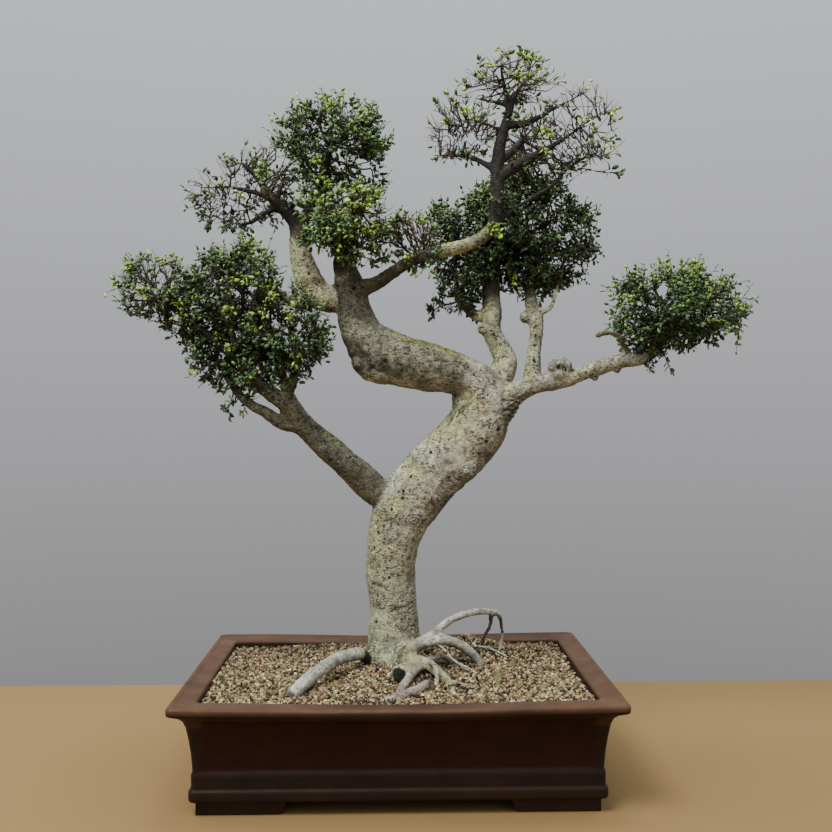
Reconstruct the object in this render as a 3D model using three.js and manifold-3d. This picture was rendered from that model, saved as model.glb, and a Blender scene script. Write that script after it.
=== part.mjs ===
// A chinese elm bonsai in a rectangular unglazed stoneware pot.
// Millimetres, +Z up. The tree leans and bends in the XZ plane, and +Y points away from the viewer.
// Everything is laid out round the middle of the pot's underside; the last lines move the whole
// group so that its origin lies on the table under the middle of the object's bounding box.
import * as THREE from "three";
import { mergeVertices } from "three/addons/utils/BufferGeometryUtils.js";
import Module from "manifold-3d";

const wasm = await Module();
wasm.setup();

// Driving dimensions
const POT_LENGTH = 520;
const POT_DEPTH = 364;
const POT_HEIGHT = 129;
const RIM_WIDTH = 36;
const RIM_SIDE = 28;
const RIM_SAG = 3.5;
const BEAD_WIDTH = 8;
const BEAD_DROP = 1.2;
const FOOT_HEIGHT = 16;
const FOOT_LENGTH = 106;
const FOOT_DEPTH = 84;
const FOOT_BAND = 30;
const FOOT_INSET = 28.5;
const FLOOR_TOP = 27;
const PANEL_SUNK = 1.5;
const PANEL_MARGIN = 13;
const PANEL_BOTTOM = 49;
const PANEL_TOP = 112;
const DRAIN_RADIUS = 15;
const DRAIN_SPACING = 220;
const SCREEN_SIDE = 46;
const SCREEN_THICK = 1.5;
const SCREEN_HOLE = 8;
const SCREEN_PITCH = 11.5;
const SOIL_LEVEL = 120;
const CLEARANCE = 0.4;
const LEAF_LENGTH = 29;
const LEAF_WIDTH = 17;
const BLADE_THICK = 0.8;
const SLIVER = 0.05;
const SEED = 21;

// The pot's outer face from the lip down: [how far in from the rim's edge, height].
const POT_FACE = [
  [0.6, 128.2],
  [0, 126],
  [1, 119.6],
  [9, 115.6],
  [15.4, 109.8],
  [18.4, 102],
  [22.4, 77],
  [24.6, 54],
  [24.8, 49.5],
  [23.6, 47],
  [24.2, 31],
  [21.2, 29.3],
  [21.2, 19.5],
  [23.4, FOOT_HEIGHT],
];

// The tree's wood. Each limb is a list of points [x, y, z, radius]: first the trunk, from inside the soil
// to its top.
const TRUNK = [
  [-11, 46, 70, 33],
  [-10, 46, 103, 37],
  [-9, 45, 131, 35.5],
  [-8, 44, 164, 33],
  [-9, 43, 205, 31],
  [-11, 42, 245, 32],
  [-6, 41, 285, 36],
  [5, 40, 318, 39.5],
  [27, 38, 352, 41.5],
  [55, 36, 386, 41.5],
  [83, 34, 416, 40.5],
  [103, 32, 447, 37],
  [110, 30, 475, 31.5],
  [96, 28, 497, 27.5],
  [74, 27, 508, 27.5],
  [42, 26, 515, 31.5],
  [9, 26, 523, 34.5],
  [-21, 27, 536, 32.5],
  [-45, 29, 556, 28.5],
  [-56, 31, 581, 24],
  [-62, 33, 605, 22],
  [-66, 33, 629, 19.5],
  [-69, 30, 650, 13],
];

const BRANCHES = {
  left: [
    [-2, 40, 335, 21],
    [-32, 38, 353, 20],
    [-53, 30, 375, 20],
    [-72, 20, 391, 16.5],
    [-93, 12, 405, 12.5],
    [-112, 4, 424, 11.5],
    [-129, -4, 445, 12],
    [-142, -10, 466, 11.5],
    [-161, -14, 479, 10],
    [-182, -18, 498, 8.3],
    [-201, -20, 523, 6.3],
    [-212, -20, 560, 4.6],
  ],
  left_low: [
    [-122, -3, 437, 9],
    [-148, -8, 442, 8.3],
    [-169, -12, 456, 7.6],
    [-189, -14, 467, 6.4],
    [-211, -10, 489, 5],
    [-226, 0, 515, 3.8],
  ],
  left_rear: [
    [-58, 30, 380, 14],
    [-80, 40, 409, 10],
    [-102, 52, 427, 8],
    [-126, 60, 449, 7.2],
    [-146, 58, 480, 6.6],
    [-158, 44, 520, 5.6],
    [-166, 26, 556, 4.4],
  ],
  left_tip: [
    [-198, -20, 518, 6],
    [-234, -24, 549, 5],
    [-268, -24, 578, 4.4],
    [-300, -22, 602, 3.6],
  ],
  left_right: [
    [-146, -11, 468, 8],
    [-134, -18, 498, 6.3],
    [-128, -18, 523, 5],
    [-132, -14, 552, 3.8],
  ],
  upper_left: [
    [-58, 33, 606, 18],
    [-85, 38, 606, 18.6],
    [-104, 46, 612, 19],
    [-119, 52, 632, 18.8],
    [-128, 56, 656, 16.7],
    [-133, 58, 678, 14],
    [-136, 58, 699, 12.7],
    [-137, 56, 715, 11.6],
    [-150, 54, 731, 9.4],
    [-171, 52, 745, 7],
    [-198, 50, 753, 5],
    [-221, 48, 756, 3.8],
  ],
  dome: [
    [-137, 57, 708, 10.5],
    [-130, 54, 735, 8.7],
    [-115, 50, 765, 7.4],
    [-99, 48, 794, 6],
    [-90, 47, 818, 4.6],
  ],
  upper_left_stub: [
    [-106, 47, 612, 13],
    [-128, 56, 604, 10.8],
    [-146, 58, 608, 8.1],
    [-168, 50, 620, 6],
    [-186, 40, 628, 4.6],
  ],
  centre: [
    [-66, 31, 626, 17],
    [-74, 24, 654, 11.8],
    [-69, 14, 675, 8.6],
    [-58, 0, 694, 6.4],
    [-50, -12, 712, 4.8],
  ],
  right_limb: [
    [-64, 32, 610, 17],
    [-48, 26, 619, 12.5],
    [-28, 18, 626, 9.2],
    [-8, 10, 638, 8.5],
    [13, 2, 651, 8.4],
    [33, -5, 659, 8.8],
    [56, -10, 663, 8.7],
    [81, -14, 669, 8.4],
    [104, -17, 678, 8],
    [118, -18, 690, 8.3],
    [125, -18, 712, 8.9],
    [126, -17, 740, 8.9],
    [126, -16, 769, 8.3],
    [129, -15, 794, 7.6],
    [135, -14, 818, 6.4],
    [142, -12, 841, 5],
    [149, -10, 866, 3.8],
  ],
  crown_right: [
    [126, -16, 756, 7.7],
    [145, -20, 767, 7],
    [164, -22, 780, 6.4],
    [181, -22, 790, 5.3],
    [202, -20, 799, 4],
    [228, -16, 817, 3.2],
  ],
  crown_low: [
    [130, -16, 709, 5.1],
    [153, -12, 722, 4.9],
    [176, -8, 736, 4.4],
    [199, -4, 754, 4.1],
    [226, 1, 778, 3.2],
  ],
  crown_left: [
    [125, -17, 763, 5.7],
    [110, -14, 775, 4.6],
    [89, -10, 784, 3.8],
    [69, -6, 788, 3],
  ],
  crown_back: [
    [128, -15, 776, 5.8],
    [142, 12, 792, 5.2],
    [156, 34, 808, 4.4],
    [166, 50, 824, 3.4],
  ],
  upright: [
    [112, 31, 470, 20],
    [132, 38, 499, 18.7],
    [144, 44, 524, 16.4],
    [136, 50, 546, 14],
    [127, 56, 566, 12.8],
    [128, 62, 590, 12.8],
    [127, 68, 612, 12.2],
    [126, 74, 644, 11],
    [128, 80, 674, 8.4],
    [134, 84, 704, 6],
  ],
  upright_arm: [
    [128, 62, 593, 9.6],
    [109, 64, 587, 8.2],
    [92, 66, 602, 6.2],
    [82, 68, 626, 4.8],
  ],
  right: [
    [113, 29, 446, 22],
    [137, 26, 462, 21],
    [149, 24, 477, 17],
    [163, 22, 486, 13.8],
    [186, 20, 494, 11.9],
    [208, 19, 497, 11.2],
    [225, 18, 500, 10],
    [243, 17, 508, 9.8],
    [267, 17, 516, 9.8],
    [293, 18, 524, 9.8],
    [320, 20, 528, 9.8],
    [340, 22, 539, 7.9],
    [358, 24, 559, 6],
    [370, 24, 580, 4.6],
  ],
  second_upright: [
    [176, 21, 492, 13],
    [178, 24, 515, 11.2],
    [180, 28, 536, 9.3],
    [184, 34, 559, 9.3],
    [185, 42, 580, 10.2],
    [181, 50, 597, 9.4],
    [179, 60, 622, 7.4],
    [182, 70, 652, 6],
    [186, 78, 680, 4.6],
  ],
  second_twig: [
    [186, 44, 590, 5.2],
    [203, 46, 595, 3.4],
    [211, 50, 609, 2.8],
    [217, 57, 630, 2.4],
  ],
  snag: [
    [307, 18, 524, 7],
    [302, 15, 537, 5.6],
    [292, 10, 551, 4.9],
    [276, 5, 560, 4.4],
    [259, 0, 558, 4],
  ],
};

// The roots that show above the soil; each ends inside it.
const ROOTS = {
  long_left: [
    [-22, 40, 132, 11],
    [-46, 20, 140, 10.8],
    [-70, -5, 142, 9.8],
    [-85, -38, 142, 9.3],
    [-102, -66, 138, 9],
    [-117, -90, 131, 9.1],
    [-127, -107, 122, 9.2],
  ],
  arch: [
    [-10, 32, 136, 12],
    [2, 12, 145, 10.6],
    [19, 5, 152, 9.2],
    [37, 0, 162, 7.9],
    [47, -2, 166, 7.1],
    [57, 5, 172, 5.6],
    [70, 15, 182, 5.1],
    [87, 28, 188, 5],
    [107, 42, 189, 4.8],
    [125, 54, 186, 4.4],
    [137, 62, 181, 3.4],
    [141, 66, 167, 2.5],
    [143, 68, 151, 2.4],
    [138, 66, 128, 2.3],
  ],
  arch_tip: [
    [126, 55, 186, 3.4],
    [125, 60, 165, 2.5],
    [117, 62, 150, 2.4],
    [113, 63, 130, 2.3],
  ],
  right: [
    [40, -2, 163, 7.2],
    [65, 2, 163, 6.9],
    [81, 8, 153, 6.8],
    [96, 15, 141, 6.6],
    [109, 22, 127, 6.1],
    [117, 27, 114, 5.4],
  ],
  saddle: [
    [-6, 26, 124, 11],
    [9, 6, 133, 8.6],
    [25, -10, 137, 7.8],
    [38, -22, 135, 7.4],
    [49, -38, 130, 7],
    [58, -52, 124, 6.7],
    [68, -64, 113, 5.8],
  ],
  drape: [
    [36, -20, 137, 3.4],
    [46, -42, 136, 3],
    [46, -54, 127, 2.9],
    [45, -60, 112, 2.7],
  ],
  front_upper: [
    [30, -10, 133, 6.3],
    [16, -35, 129, 6.3],
    [8, -60, 127, 5.9],
    [2, -78, 123, 5.4],
    [-6, -92, 114, 4.6],
  ],
  front_lower: [
    [35, -26, 133, 6],
    [31, -66, 130, 5.4],
    [25, -86, 127, 5.4],
    [13, -102, 122, 5.2],
    [0, -112, 119, 5],
    [-13, -119, 113, 4.5],
  ],
  small: [
    [14, 8, 134, 4.6],
    [41, 2, 136, 3.4],
    [58, 14, 136, 3.1],
    [72, 26, 124, 2.7],
  ],
};

// Swellings where old branches were cut: [x, y, z, radii along x, y, z].
const KNOTS = [
  [-42, 20, 523, 22, 20, 17],
  [-6, 8, 322, 11, 9, 10],
  [86, 10, 390, 12, 10, 12],
  [210, 17, 512, 15, 13, 12],
  [172, 44, 584, 9, 9, 9],
];

// A root that was cut off above the soil, standing by itself.
const STUB = [
  [125, -48, 104, 4],
  [125, -48, 124, 3.9],
  [125, -48, 138, 3.5],
];

// The foliage. Each node is one mass of lobes: [x, y, z, radii along x, y and z, radius along z underneath].
// core is how much of a lobe's radius its dense middle takes, and sprays is how many leafy shoots stand out
// of the node.
const FOLIAGE = {
  foliage_left: {
    core: 0.74,
    sprays: 13,
    lobes: [
      [-210, 2, 613, 71, 74, 70, 67],
      [-145, -8, 554, 60, 66, 77, 67],
      [-226, 8, 531, 57, 54, 49, 47],
      [-270, 0, 582, 47, 44, 44, 40],
    ],
  },
  foliage_left_tip: {
    core: 0.5,
    sprays: 5,
    lobes: [[-316, -20, 615, 50, 50, 48, 43]],
  },
  foliage_upper_left: {
    core: 0.36,
    sprays: 7,
    lobes: [
      [-210, 50, 749, 74, 56, 53, 53],
      [-164, 50, 778, 40, 40, 35, 37],
    ],
  },
  foliage_top_left: {
    core: 0.74,
    sprays: 9,
    lobes: [[-88, 50, 817, 84, 76, 66, 60]],
  },
  foliage_centre: {
    core: 0.62,
    sprays: 7,
    lobes: [[-53, -18, 699, 66, 58, 51, 53]],
  },
  foliage_centre_right: {
    core: 0.4,
    sprays: 4,
    lobes: [[19, -8, 676, 41, 36, 41, 35]],
  },
  foliage_crown_top: {
    core: 0.36,
    sprays: 6,
    lobes: [[146, -10, 875, 69, 58, 47, 39]],
  },
  foliage_crown_left: {
    core: 0.4,
    sprays: 4,
    lobes: [[81, -4, 815, 49, 46, 52, 40]],
  },
  foliage_crown_right: {
    core: 0.52,
    sprays: 7,
    lobes: [
      [238, -10, 823, 54, 54, 58, 49],
      [250, 4, 787, 48, 40, 31, 30],
    ],
  },
  foliage_crown_back: {
    core: 0.4,
    sprays: 3,
    lobes: [[172, 56, 823, 51, 44, 42, 42]],
  },
  foliage_right: {
    core: 0.76,
    sprays: 12,
    lobes: [
      [178, 86, 696, 107, 80, 94, 91],
      [91, 74, 680, 64, 62, 85, 79],
    ],
  },
  foliage_far_right: {
    core: 0.74,
    sprays: 10,
    lobes: [[373, 24, 584, 106, 78, 81, 49]],
  },
};

// A repeatable random number from 0 to 1.
function randomSource(seed) {
  let state = seed;
  return () => {
    state = (state + 0x6d2b79f5) | 0;
    let t = Math.imul(state ^ (state >>> 15), 1 | state);
    t = (t + Math.imul(t ^ (t >>> 7), 61 | t)) ^ t;
    return ((t ^ (t >>> 14)) >>> 0) / 4294967296;
  };
}

// A closed geometry as a solid that can be cut and joined.
function solidOf(geometry) {
  const bare = geometry.clone();
  bare.deleteAttribute("normal");
  bare.deleteAttribute("uv");
  const merged = mergeVertices(bare, 1e-4);
  return new wasm.Manifold(
    new wasm.Mesh({
      numProp: 3,
      vertProperties: merged.attributes.position.array,
      triVerts: new Uint32Array(merged.index.array),
    }),
  );
}

// A solid back as a geometry.
function geometryOf(solid) {
  const mesh = solid.getMesh();
  return new THREE.BufferGeometry()
    .setAttribute("position", new THREE.BufferAttribute(mesh.vertProperties, 3))
    .setIndex(new THREE.BufferAttribute(mesh.triVerts, 1))
    .toNonIndexed();
}

function joined(solids) {
  return solids.reduce((all, next) => all.add(next));
}

// The largest connected body of a solid, without slivers; what a cut left loose is dropped.
function largestBody(solid) {
  const bodies = solid.decompose().sort((a, b) => b.volume() - a.volume());
  return bodies[0].simplify(SLIVER);
}

// A closed geometry from rings of points: each ring is joined to the next, and the ends are closed by fans.
function loft(rings) {
  const sides = rings[0].length;
  const points = rings.flat();
  const middle = (ring) =>
    ring
      .reduce((sum, p) => sum.add(p), new THREE.Vector3())
      .divideScalar(ring.length);
  points.push(middle(rings[0]), middle(rings.at(-1)));
  const first = points.length - 2;
  const last = points.length - 1;
  const top = (rings.length - 1) * sides;
  const index = [];
  for (let s = 0; s < sides; s++) {
    const t = (s + 1) % sides;
    for (let r = 0; r < top; r += sides) {
      index.push(r + s, r + t, r + sides + t);
      index.push(r + s, r + sides + t, r + sides + s);
    }
    index.push(first, t, s);
    index.push(last, top + s, top + t);
  }
  return new THREE.BufferGeometry().setFromPoints(points).setIndex(index);
}

// A limb: a slightly fluted tube along a smooth line through points [x, y, z, radius], made wider by grow.
function limb(points, grow = 0) {
  const line = new THREE.CatmullRomCurve3(
    points.map(([x, y, z]) => new THREE.Vector3(x, y, z)),
    false,
    "centripetal",
  );
  const radii = points.map((p) => p[3]);
  const meanRadius = radii.reduce((a, b) => a + b) / radii.length;
  const ringGap = THREE.MathUtils.clamp(2.2 * meanRadius, 27, 29);
  const sides = meanRadius > 25 ? 12 : meanRadius > 12 ? 7 : 5;
  const spans = Math.max(2, Math.round(line.getLength() / ringGap));
  const across = new THREE.Vector3(0, 1, 0);
  const rings = [];
  for (let i = 0; i <= spans; i++) {
    const t = i / spans;
    const at = t * (radii.length - 1);
    const k = Math.min(Math.floor(at), radii.length - 2);
    const radius = THREE.MathUtils.lerp(radii[k], radii[k + 1], at - k) + grow;
    const centre = line.getPoint(t);
    const ahead = line.getTangent(t);
    across.addScaledVector(ahead, -across.dot(ahead)).normalize();
    const up = new THREE.Vector3().crossVectors(ahead, across);
    const ring = [];
    for (let s = 0; s < sides; s++) {
      const angle = (2 * Math.PI * s) / sides;
      const flute =
        1 +
        0.035 * Math.sin(3 * angle + centre.z / 34) +
        0.025 * Math.sin(2 * angle - centre.x / 23);
      ring.push(
        centre
          .clone()
          .addScaledVector(across, radius * flute * Math.cos(angle))
          .addScaledVector(up, radius * flute * Math.sin(angle)),
      );
    }
    rings.push(ring);
  }
  return solidOf(loft(rings));
}

// A lump: a coarse ball stretched to its radii, its surface pushed in and out by rough.
function lump([x, y, z, rx, ry, rz], detail, rough, random, grow = 0) {
  const ball = mergeVertices(
    new THREE.IcosahedronGeometry(1, detail)
      .deleteAttribute("uv")
      .deleteAttribute("normal"),
    1e-4,
  );
  const place = ball.attributes.position;
  for (let i = 0; i < place.count; i++) {
    const push = 1 + rough * (2 * random() - 1);
    place.setXYZ(
      i,
      x + (rx * push + grow) * place.getX(i),
      y + (ry * push + grow) * place.getY(i),
      z + (rz * push + grow) * place.getZ(i),
    );
  }
  return solidOf(ball);
}

// The dense middle of a lobe of leaves: a coarse ball with a point raised off-centre on each of its faces,
// like the tips of leaves that crowd together.
function bush([x, y, z, rx, ry, rz, under], random) {
  const ball = new THREE.IcosahedronGeometry(1, 0).attributes.position;
  const corners = new Map();
  const corner = (i) => {
    const point = new THREE.Vector3().fromBufferAttribute(ball, i);
    const key = point.toArray().map((v) => v.toFixed(3)).join();
    if (!corners.has(key)) {
      corners.set(key, point.multiplyScalar(0.8 + 0.2 * random()));
    }
    return corners.get(key);
  };
  const points = [];
  for (let i = 0; i < ball.count; i += 3) {
    const [a, b, c] = [corner(i), corner(i + 1), corner(i + 2)];
    const [wa, wb, wc] = [0.2 + random(), 0.2 + random(), 0.2 + random()];
    const tip = a.clone().multiplyScalar(wa);
    tip.addScaledVector(b, wb).addScaledVector(c, wc).divideScalar(wa + wb + wc);
    tip.setLength(1.12 + 0.22 * random());
    points.push(a, b, tip, b, c, tip, c, a, tip);
  }
  const shaped = points.map(
    (p) => new THREE.Vector3(x + rx * p.x, y + ry * p.y, z + (p.z > 0 ? rz : under) * p.z),
  );
  return solidOf(new THREE.BufferGeometry().setFromPoints(shaped));
}

// The wood of the whole tree, wider by grow where it is used to cut holes for itself.
function wood(grow = 0) {
  const random = randomSource(SEED);
  return joined([
    limb(TRUNK, grow),
    ...Object.values(BRANCHES).map((points) => limb(points, grow)),
    ...Object.values(ROOTS).map((points) => limb(points, grow)),
    ...KNOTS.map((knot) => lump(knot, 1, 0.08, random, grow)),
  ]);
}

// A rectangle with rounded corners, as points round its edge.
function roundedRectangle(length, depth, radius, steps) {
  const points = [];
  const corners = [
    [1, 1, 0],
    [-1, 1, 1],
    [-1, -1, 2],
    [1, -1, 3],
  ];
  for (const [sx, sy, quarter] of corners) {
    for (let i = 0; i <= steps; i++) {
      const angle = (Math.PI / 2) * (quarter + i / steps);
      points.push([
        sx * (length / 2 - radius) + radius * Math.cos(angle),
        sy * (depth / 2 - radius) + radius * Math.sin(angle),
      ]);
    }
  }
  return points;
}

// How much lower the pot stands in the middle of its long sides, for a point near the rim.
function sagAt(x, z) {
  const high = THREE.MathUtils.smoothstep(z, 90, 122);
  return RIM_SAG * high * Math.cos((Math.PI * x) / POT_LENGTH) ** 2;
}

// One level of the pot: a rounded rectangle drawn in by inset, with points along the long sides for the sag.
function potRing(inset, z, radius) {
  const outline = roundedRectangle(
    POT_LENGTH - 2 * inset,
    POT_DEPTH - 2 * inset,
    radius,
    2,
  );
  const ring = [];
  outline.forEach(([x, y], i) => {
    ring.push([x, y]);
    const [nextX, nextY] = outline[(i + 1) % outline.length];
    if (Math.abs(nextX - x) > POT_LENGTH / 2) {
      for (let k = 1; k < 4; k++) {
        ring.push([x + ((nextX - x) * k) / 4, y + ((nextY - y) * k) / 4]);
      }
    }
  });
  return ring.map(([x, y]) => new THREE.Vector3(x, y, z - sagAt(x, z)));
}

// The pot as a solid block of its outer shape, sunk by sunk all round.
function potBlock(sunk) {
  const levels = POT_FACE.map(([inset, z]) => potRing(inset + sunk, z, 6));
  const bead = potRing(BEAD_WIDTH - 0.6 + sunk, POT_HEIGHT - BEAD_DROP / 2, 5);
  const flat = potRing(BEAD_WIDTH + 0.8 + sunk, POT_HEIGHT - BEAD_DROP, 5);
  const edge = potRing(3 + sunk, POT_HEIGHT, 6);
  const inner = potRing(RIM_WIDTH + 4, POT_HEIGHT - 2.6, 5);
  return solidOf(loft([...levels.reverse(), edge, bead, flat, inner]));
}

// A box between two corners.
function boxSolid([x0, y0, z0], [x1, y1, z1]) {
  const box = new THREE.BoxGeometry(x1 - x0, y1 - y0, z1 - z0);
  box.translate((x0 + x1) / 2, (y0 + y1) / 2, (z0 + z1) / 2);
  return solidOf(box);
}

// A plain upright block with the inside outline of the pot, smaller by gap all round. Under the rim the
// walls thicken a little, most at the two ends.
function potInside(gap, bottom, top) {
  const ring = (endShrink, sideShrink, z) =>
    roundedRectangle(
      POT_LENGTH - 2 * (RIM_SIDE + endShrink + gap),
      POT_DEPTH - 2 * (RIM_WIDTH + sideShrink + gap),
      9,
      2,
    ).map(([x, y]) => new THREE.Vector3(x, y, z));
  const shoulder = SOIL_LEVEL - 12;
  return solidOf(
    loft([
      ring(7.5, 1.5, bottom),
      ring(6.5, 0.5, shoulder),
      ring(0, 0, SOIL_LEVEL - 2),
      ring(0, 0, top),
    ]),
  );
}

// The four corner feet: each an L of two bars whose free ends slope.
function feet() {
  const halfLength = POT_LENGTH / 2 - FOOT_INSET;
  const halfDepth = POT_DEPTH / 2 - FOOT_INSET;
  const bar = (along, cross, slope) => {
    const shape = new THREE.Shape([
      new THREE.Vector2(0, 0),
      new THREE.Vector2(along - slope, 0),
      new THREE.Vector2(along, FOOT_HEIGHT + 1),
      new THREE.Vector2(0, FOOT_HEIGHT + 1),
    ]);
    const block = new THREE.ExtrudeGeometry(shape, {
      depth: cross,
      bevelEnabled: false,
    });
    return block.rotateX(Math.PI / 2).translate(0, cross, 0);
  };
  const longBar = solidOf(bar(FOOT_LENGTH, FOOT_BAND, 9));
  const sideBar = solidOf(
    bar(FOOT_DEPTH, FOOT_BAND, 9)
      .rotateZ(Math.PI / 2)
      .translate(FOOT_BAND, 0, 0),
  );
  const corner = longBar.add(sideBar).translate([-halfLength, -halfDepth, 0]);
  const pair = corner.add(corner.mirror([1, 0, 0]));
  return pair.add(pair.mirror([0, 1, 0]));
}

// The pot: block, cavity, sunk panels on its four sides, feet and drain holes.
function pot() {
  const outer = potBlock(0);
  const skin = outer.subtract(potBlock(PANEL_SUNK));
  const spanX = POT_LENGTH / 2 - 24 - PANEL_MARGIN;
  const spanY = POT_DEPTH / 2 - 24 - PANEL_MARGIN;
  const windowX = boxSolid(
    [-spanX, -POT_DEPTH, PANEL_BOTTOM + 2],
    [spanX, POT_DEPTH, PANEL_TOP],
  );
  const windowY = boxSolid(
    [-POT_LENGTH, -spanY, PANEL_BOTTOM + 2],
    [POT_LENGTH, spanY, PANEL_TOP],
  );
  const panels = skin.intersect(windowX.add(windowY));
  const drain = (x) => {
    const hole = new THREE.CylinderGeometry(
      DRAIN_RADIUS,
      DRAIN_RADIUS,
      3 * FLOOR_TOP,
      16,
    );
    return solidOf(hole.rotateX(Math.PI / 2).translate(x, 0, FLOOR_TOP));
  };
  return largestBody(
    outer
      .add(feet())
      .subtract(panels)
      .subtract(potInside(0, FLOOR_TOP, POT_HEIGHT + 4))
      .subtract(drain(-DRAIN_SPACING / 2))
      .subtract(drain(DRAIN_SPACING / 2)),
  );
}

// A square of plastic mesh that keeps the soil from falling through a drain hole.
function drainScreen(x) {
  const half = SCREEN_SIDE / 2;
  const low = FLOOR_TOP + CLEARANCE;
  let sheet = boxSolid([x - half, -half, low], [x + half, half, low + SCREEN_THICK]);
  for (const i of [-1, 0, 1]) {
    for (const j of [-1, 0, 1]) {
      const cx = x + i * SCREEN_PITCH;
      const cy = j * SCREEN_PITCH;
      const hole = boxSolid(
        [cx - SCREEN_HOLE / 2, cy - SCREEN_HOLE / 2, low - 1],
        [cx + SCREEN_HOLE / 2, cy + SCREEN_HOLE / 2, low + SCREEN_THICK + 1],
      );
      sheet = sheet.subtract(hole);
    }
  }
  return sheet;
}

// Height of the soil: level, heaped a little round the trunk and more behind the arched root, with coarse
// grains.
function soilHeight(x, y) {
  const heap = (cx, cy, width, height) =>
    height * Math.exp(-((x - cx) ** 2 + (y - cy) ** 2) / (2 * width ** 2));
  const grains =
    1.5 * Math.sin(0.61 * x + 1.3 * Math.sin(0.23 * y)) +
    1.5 * Math.sin(0.57 * y + 1.1 * Math.sin(0.19 * x));
  return (
    SOIL_LEVEL +
    heap(0, 40, 72, 7) +
    heap(100, 92, 34, 24) +
    2 * Math.sin(x / 47) * Math.cos(y / 39) +
    grains
  );
}

// The soil: fills the pot to a little under the rim, with plain holes where the trunk and roots go in.
function soil(woodWide, stubWide) {
  const columns = 18;
  const rows = 12;
  const length = POT_LENGTH - 2 * RIM_SIDE + 4;
  const depth = POT_DEPTH - 2 * RIM_WIDTH + 4;
  const block = new THREE.BoxGeometry(length, depth, 1, columns, rows, 1);
  const place = block.attributes.position;
  const bottom = FLOOR_TOP + SCREEN_THICK + 2 * CLEARANCE;
  for (let i = 0; i < place.count; i++) {
    const top = place.getZ(i) > 0;
    const [x, y] = [place.getX(i), place.getY(i)];
    place.setZ(i, top ? soilHeight(x, y) : bottom);
  }
  const fill = solidOf(block).intersect(
    potInside(CLEARANCE, bottom + 0.1, 1.5 * POT_HEIGHT),
  );
  return largestBody(fill.subtract(woodWide).subtract(stubWide));
}

// One leafy shoot, lying along +X with its leaves spread in the XY plane: a thin blade whose outline is cut
// in to the rib between alternate leaves, then arched along its length and drooped at its sides.
function spray(length, random) {
  const leaves = Math.max(3, Math.round(length / 11));
  const pitch = length / leaves;
  const sides = [[], []];
  for (let k = 0; k < leaves; k++) {
    const x = pitch * (k + 0.3);
    const slant = THREE.MathUtils.lerp(1.1, 0.7, k / leaves);
    const size = LEAF_LENGTH * (0.8 + 0.35 * random());
    const wide = (LEAF_WIDTH / LEAF_LENGTH) * size;
    const at = (along, across) => [
      x + size * along * Math.cos(slant) - wide * across * Math.sin(slant),
      1.2 + size * along * Math.sin(slant) + wide * across * Math.cos(slant),
    ];
    const notch = [x - 1.5, 1.2];
    sides[k % 2].push(notch, at(0.45, 0.5), at(1, 0), at(0.5, -0.5));
  }
  const outline = [
    [-14, 1.5],
    ...sides[0],
    [length + 0.45 * LEAF_LENGTH, 0.5 * LEAF_WIDTH],
    [length + LEAF_LENGTH, 0],
    [length + 0.45 * LEAF_LENGTH, -0.5 * LEAF_WIDTH],
    ...sides[1].map(([x, y]) => [x, -y]).reverse(),
    [-14, -1.5],
  ].map(([x, y]) => new THREE.Vector2(x, y));
  const blade = new THREE.ExtrudeGeometry(new THREE.Shape(outline), {
    depth: BLADE_THICK,
    bevelEnabled: false,
    steps: 1,
  });
  const place = blade.attributes.position;
  const arch = 0.006 + 0.003 * random();
  for (let i = 0; i < place.count; i++) {
    const [x, y] = [place.getX(i), Math.abs(place.getY(i))];
    place.setZ(i, place.getZ(i) - arch * x * Math.max(x, 0) - 0.01 * y * y);
  }
  return blade;
}

// Points spread evenly over a unit ball, by the golden angle.
function spreadDirection(i, count, turn) {
  const z = 1 - (2 * i + 1) / count;
  const ring = Math.sqrt(1 - z * z);
  const angle = 2.39996 * i + turn;
  return new THREE.Vector3(
    ring * Math.cos(angle),
    ring * Math.sin(angle),
    z,
  );
}

// One leafy shoot placed on a lobe: it grows outwards from the dense middle and arches over to one side, so
// that its leaves face outwards and its tip lies at the lobe's surface.
function placedSpray([cx, cy, cz, rx, ry, rz, under], core, direction, random) {
  const centre = new THREE.Vector3(cx, cy, cz);
  const radii = new THREE.Vector3(rx, ry, direction.z > 0 ? rz : under);
  const heading = new THREE.Vector3(
    random() - 0.5,
    random() - 0.5,
    random() - 0.5,
  );
  heading.addScaledVector(direction, -direction.dot(heading)).normalize();
  const surface = direction.clone().multiply(radii);
  const whole = surface.length();
  const hidden = Math.min(0.8 * core, Math.max(0.1, 1 - (20 + LEAF_LENGTH) / whole));
  const start = surface.multiplyScalar(hidden);
  const length = Math.max(20, whole * (1.06 - hidden) - 0.75 * LEAF_LENGTH);
  const along = direction.clone().addScaledVector(heading, 0.35).normalize();
  const facing = heading.addScaledVector(along, -heading.dot(along));
  facing.normalize().negate();
  const side = new THREE.Vector3().crossVectors(facing, along);
  const frame = new THREE.Matrix4()
    .makeBasis(along, side, facing)
    .setPosition(start.add(centre));
  return solidOf(spray(length, random).applyMatrix4(frame));
}

function insideLobe(point, [cx, cy, cz, rx, ry, rz, under], share) {
  const [x, y, z] = [point.x - cx, point.y - cy, point.z - cz];
  return Math.hypot(x / rx, y / ry, z / (z > 0 ? rz : under)) < share;
}

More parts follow.
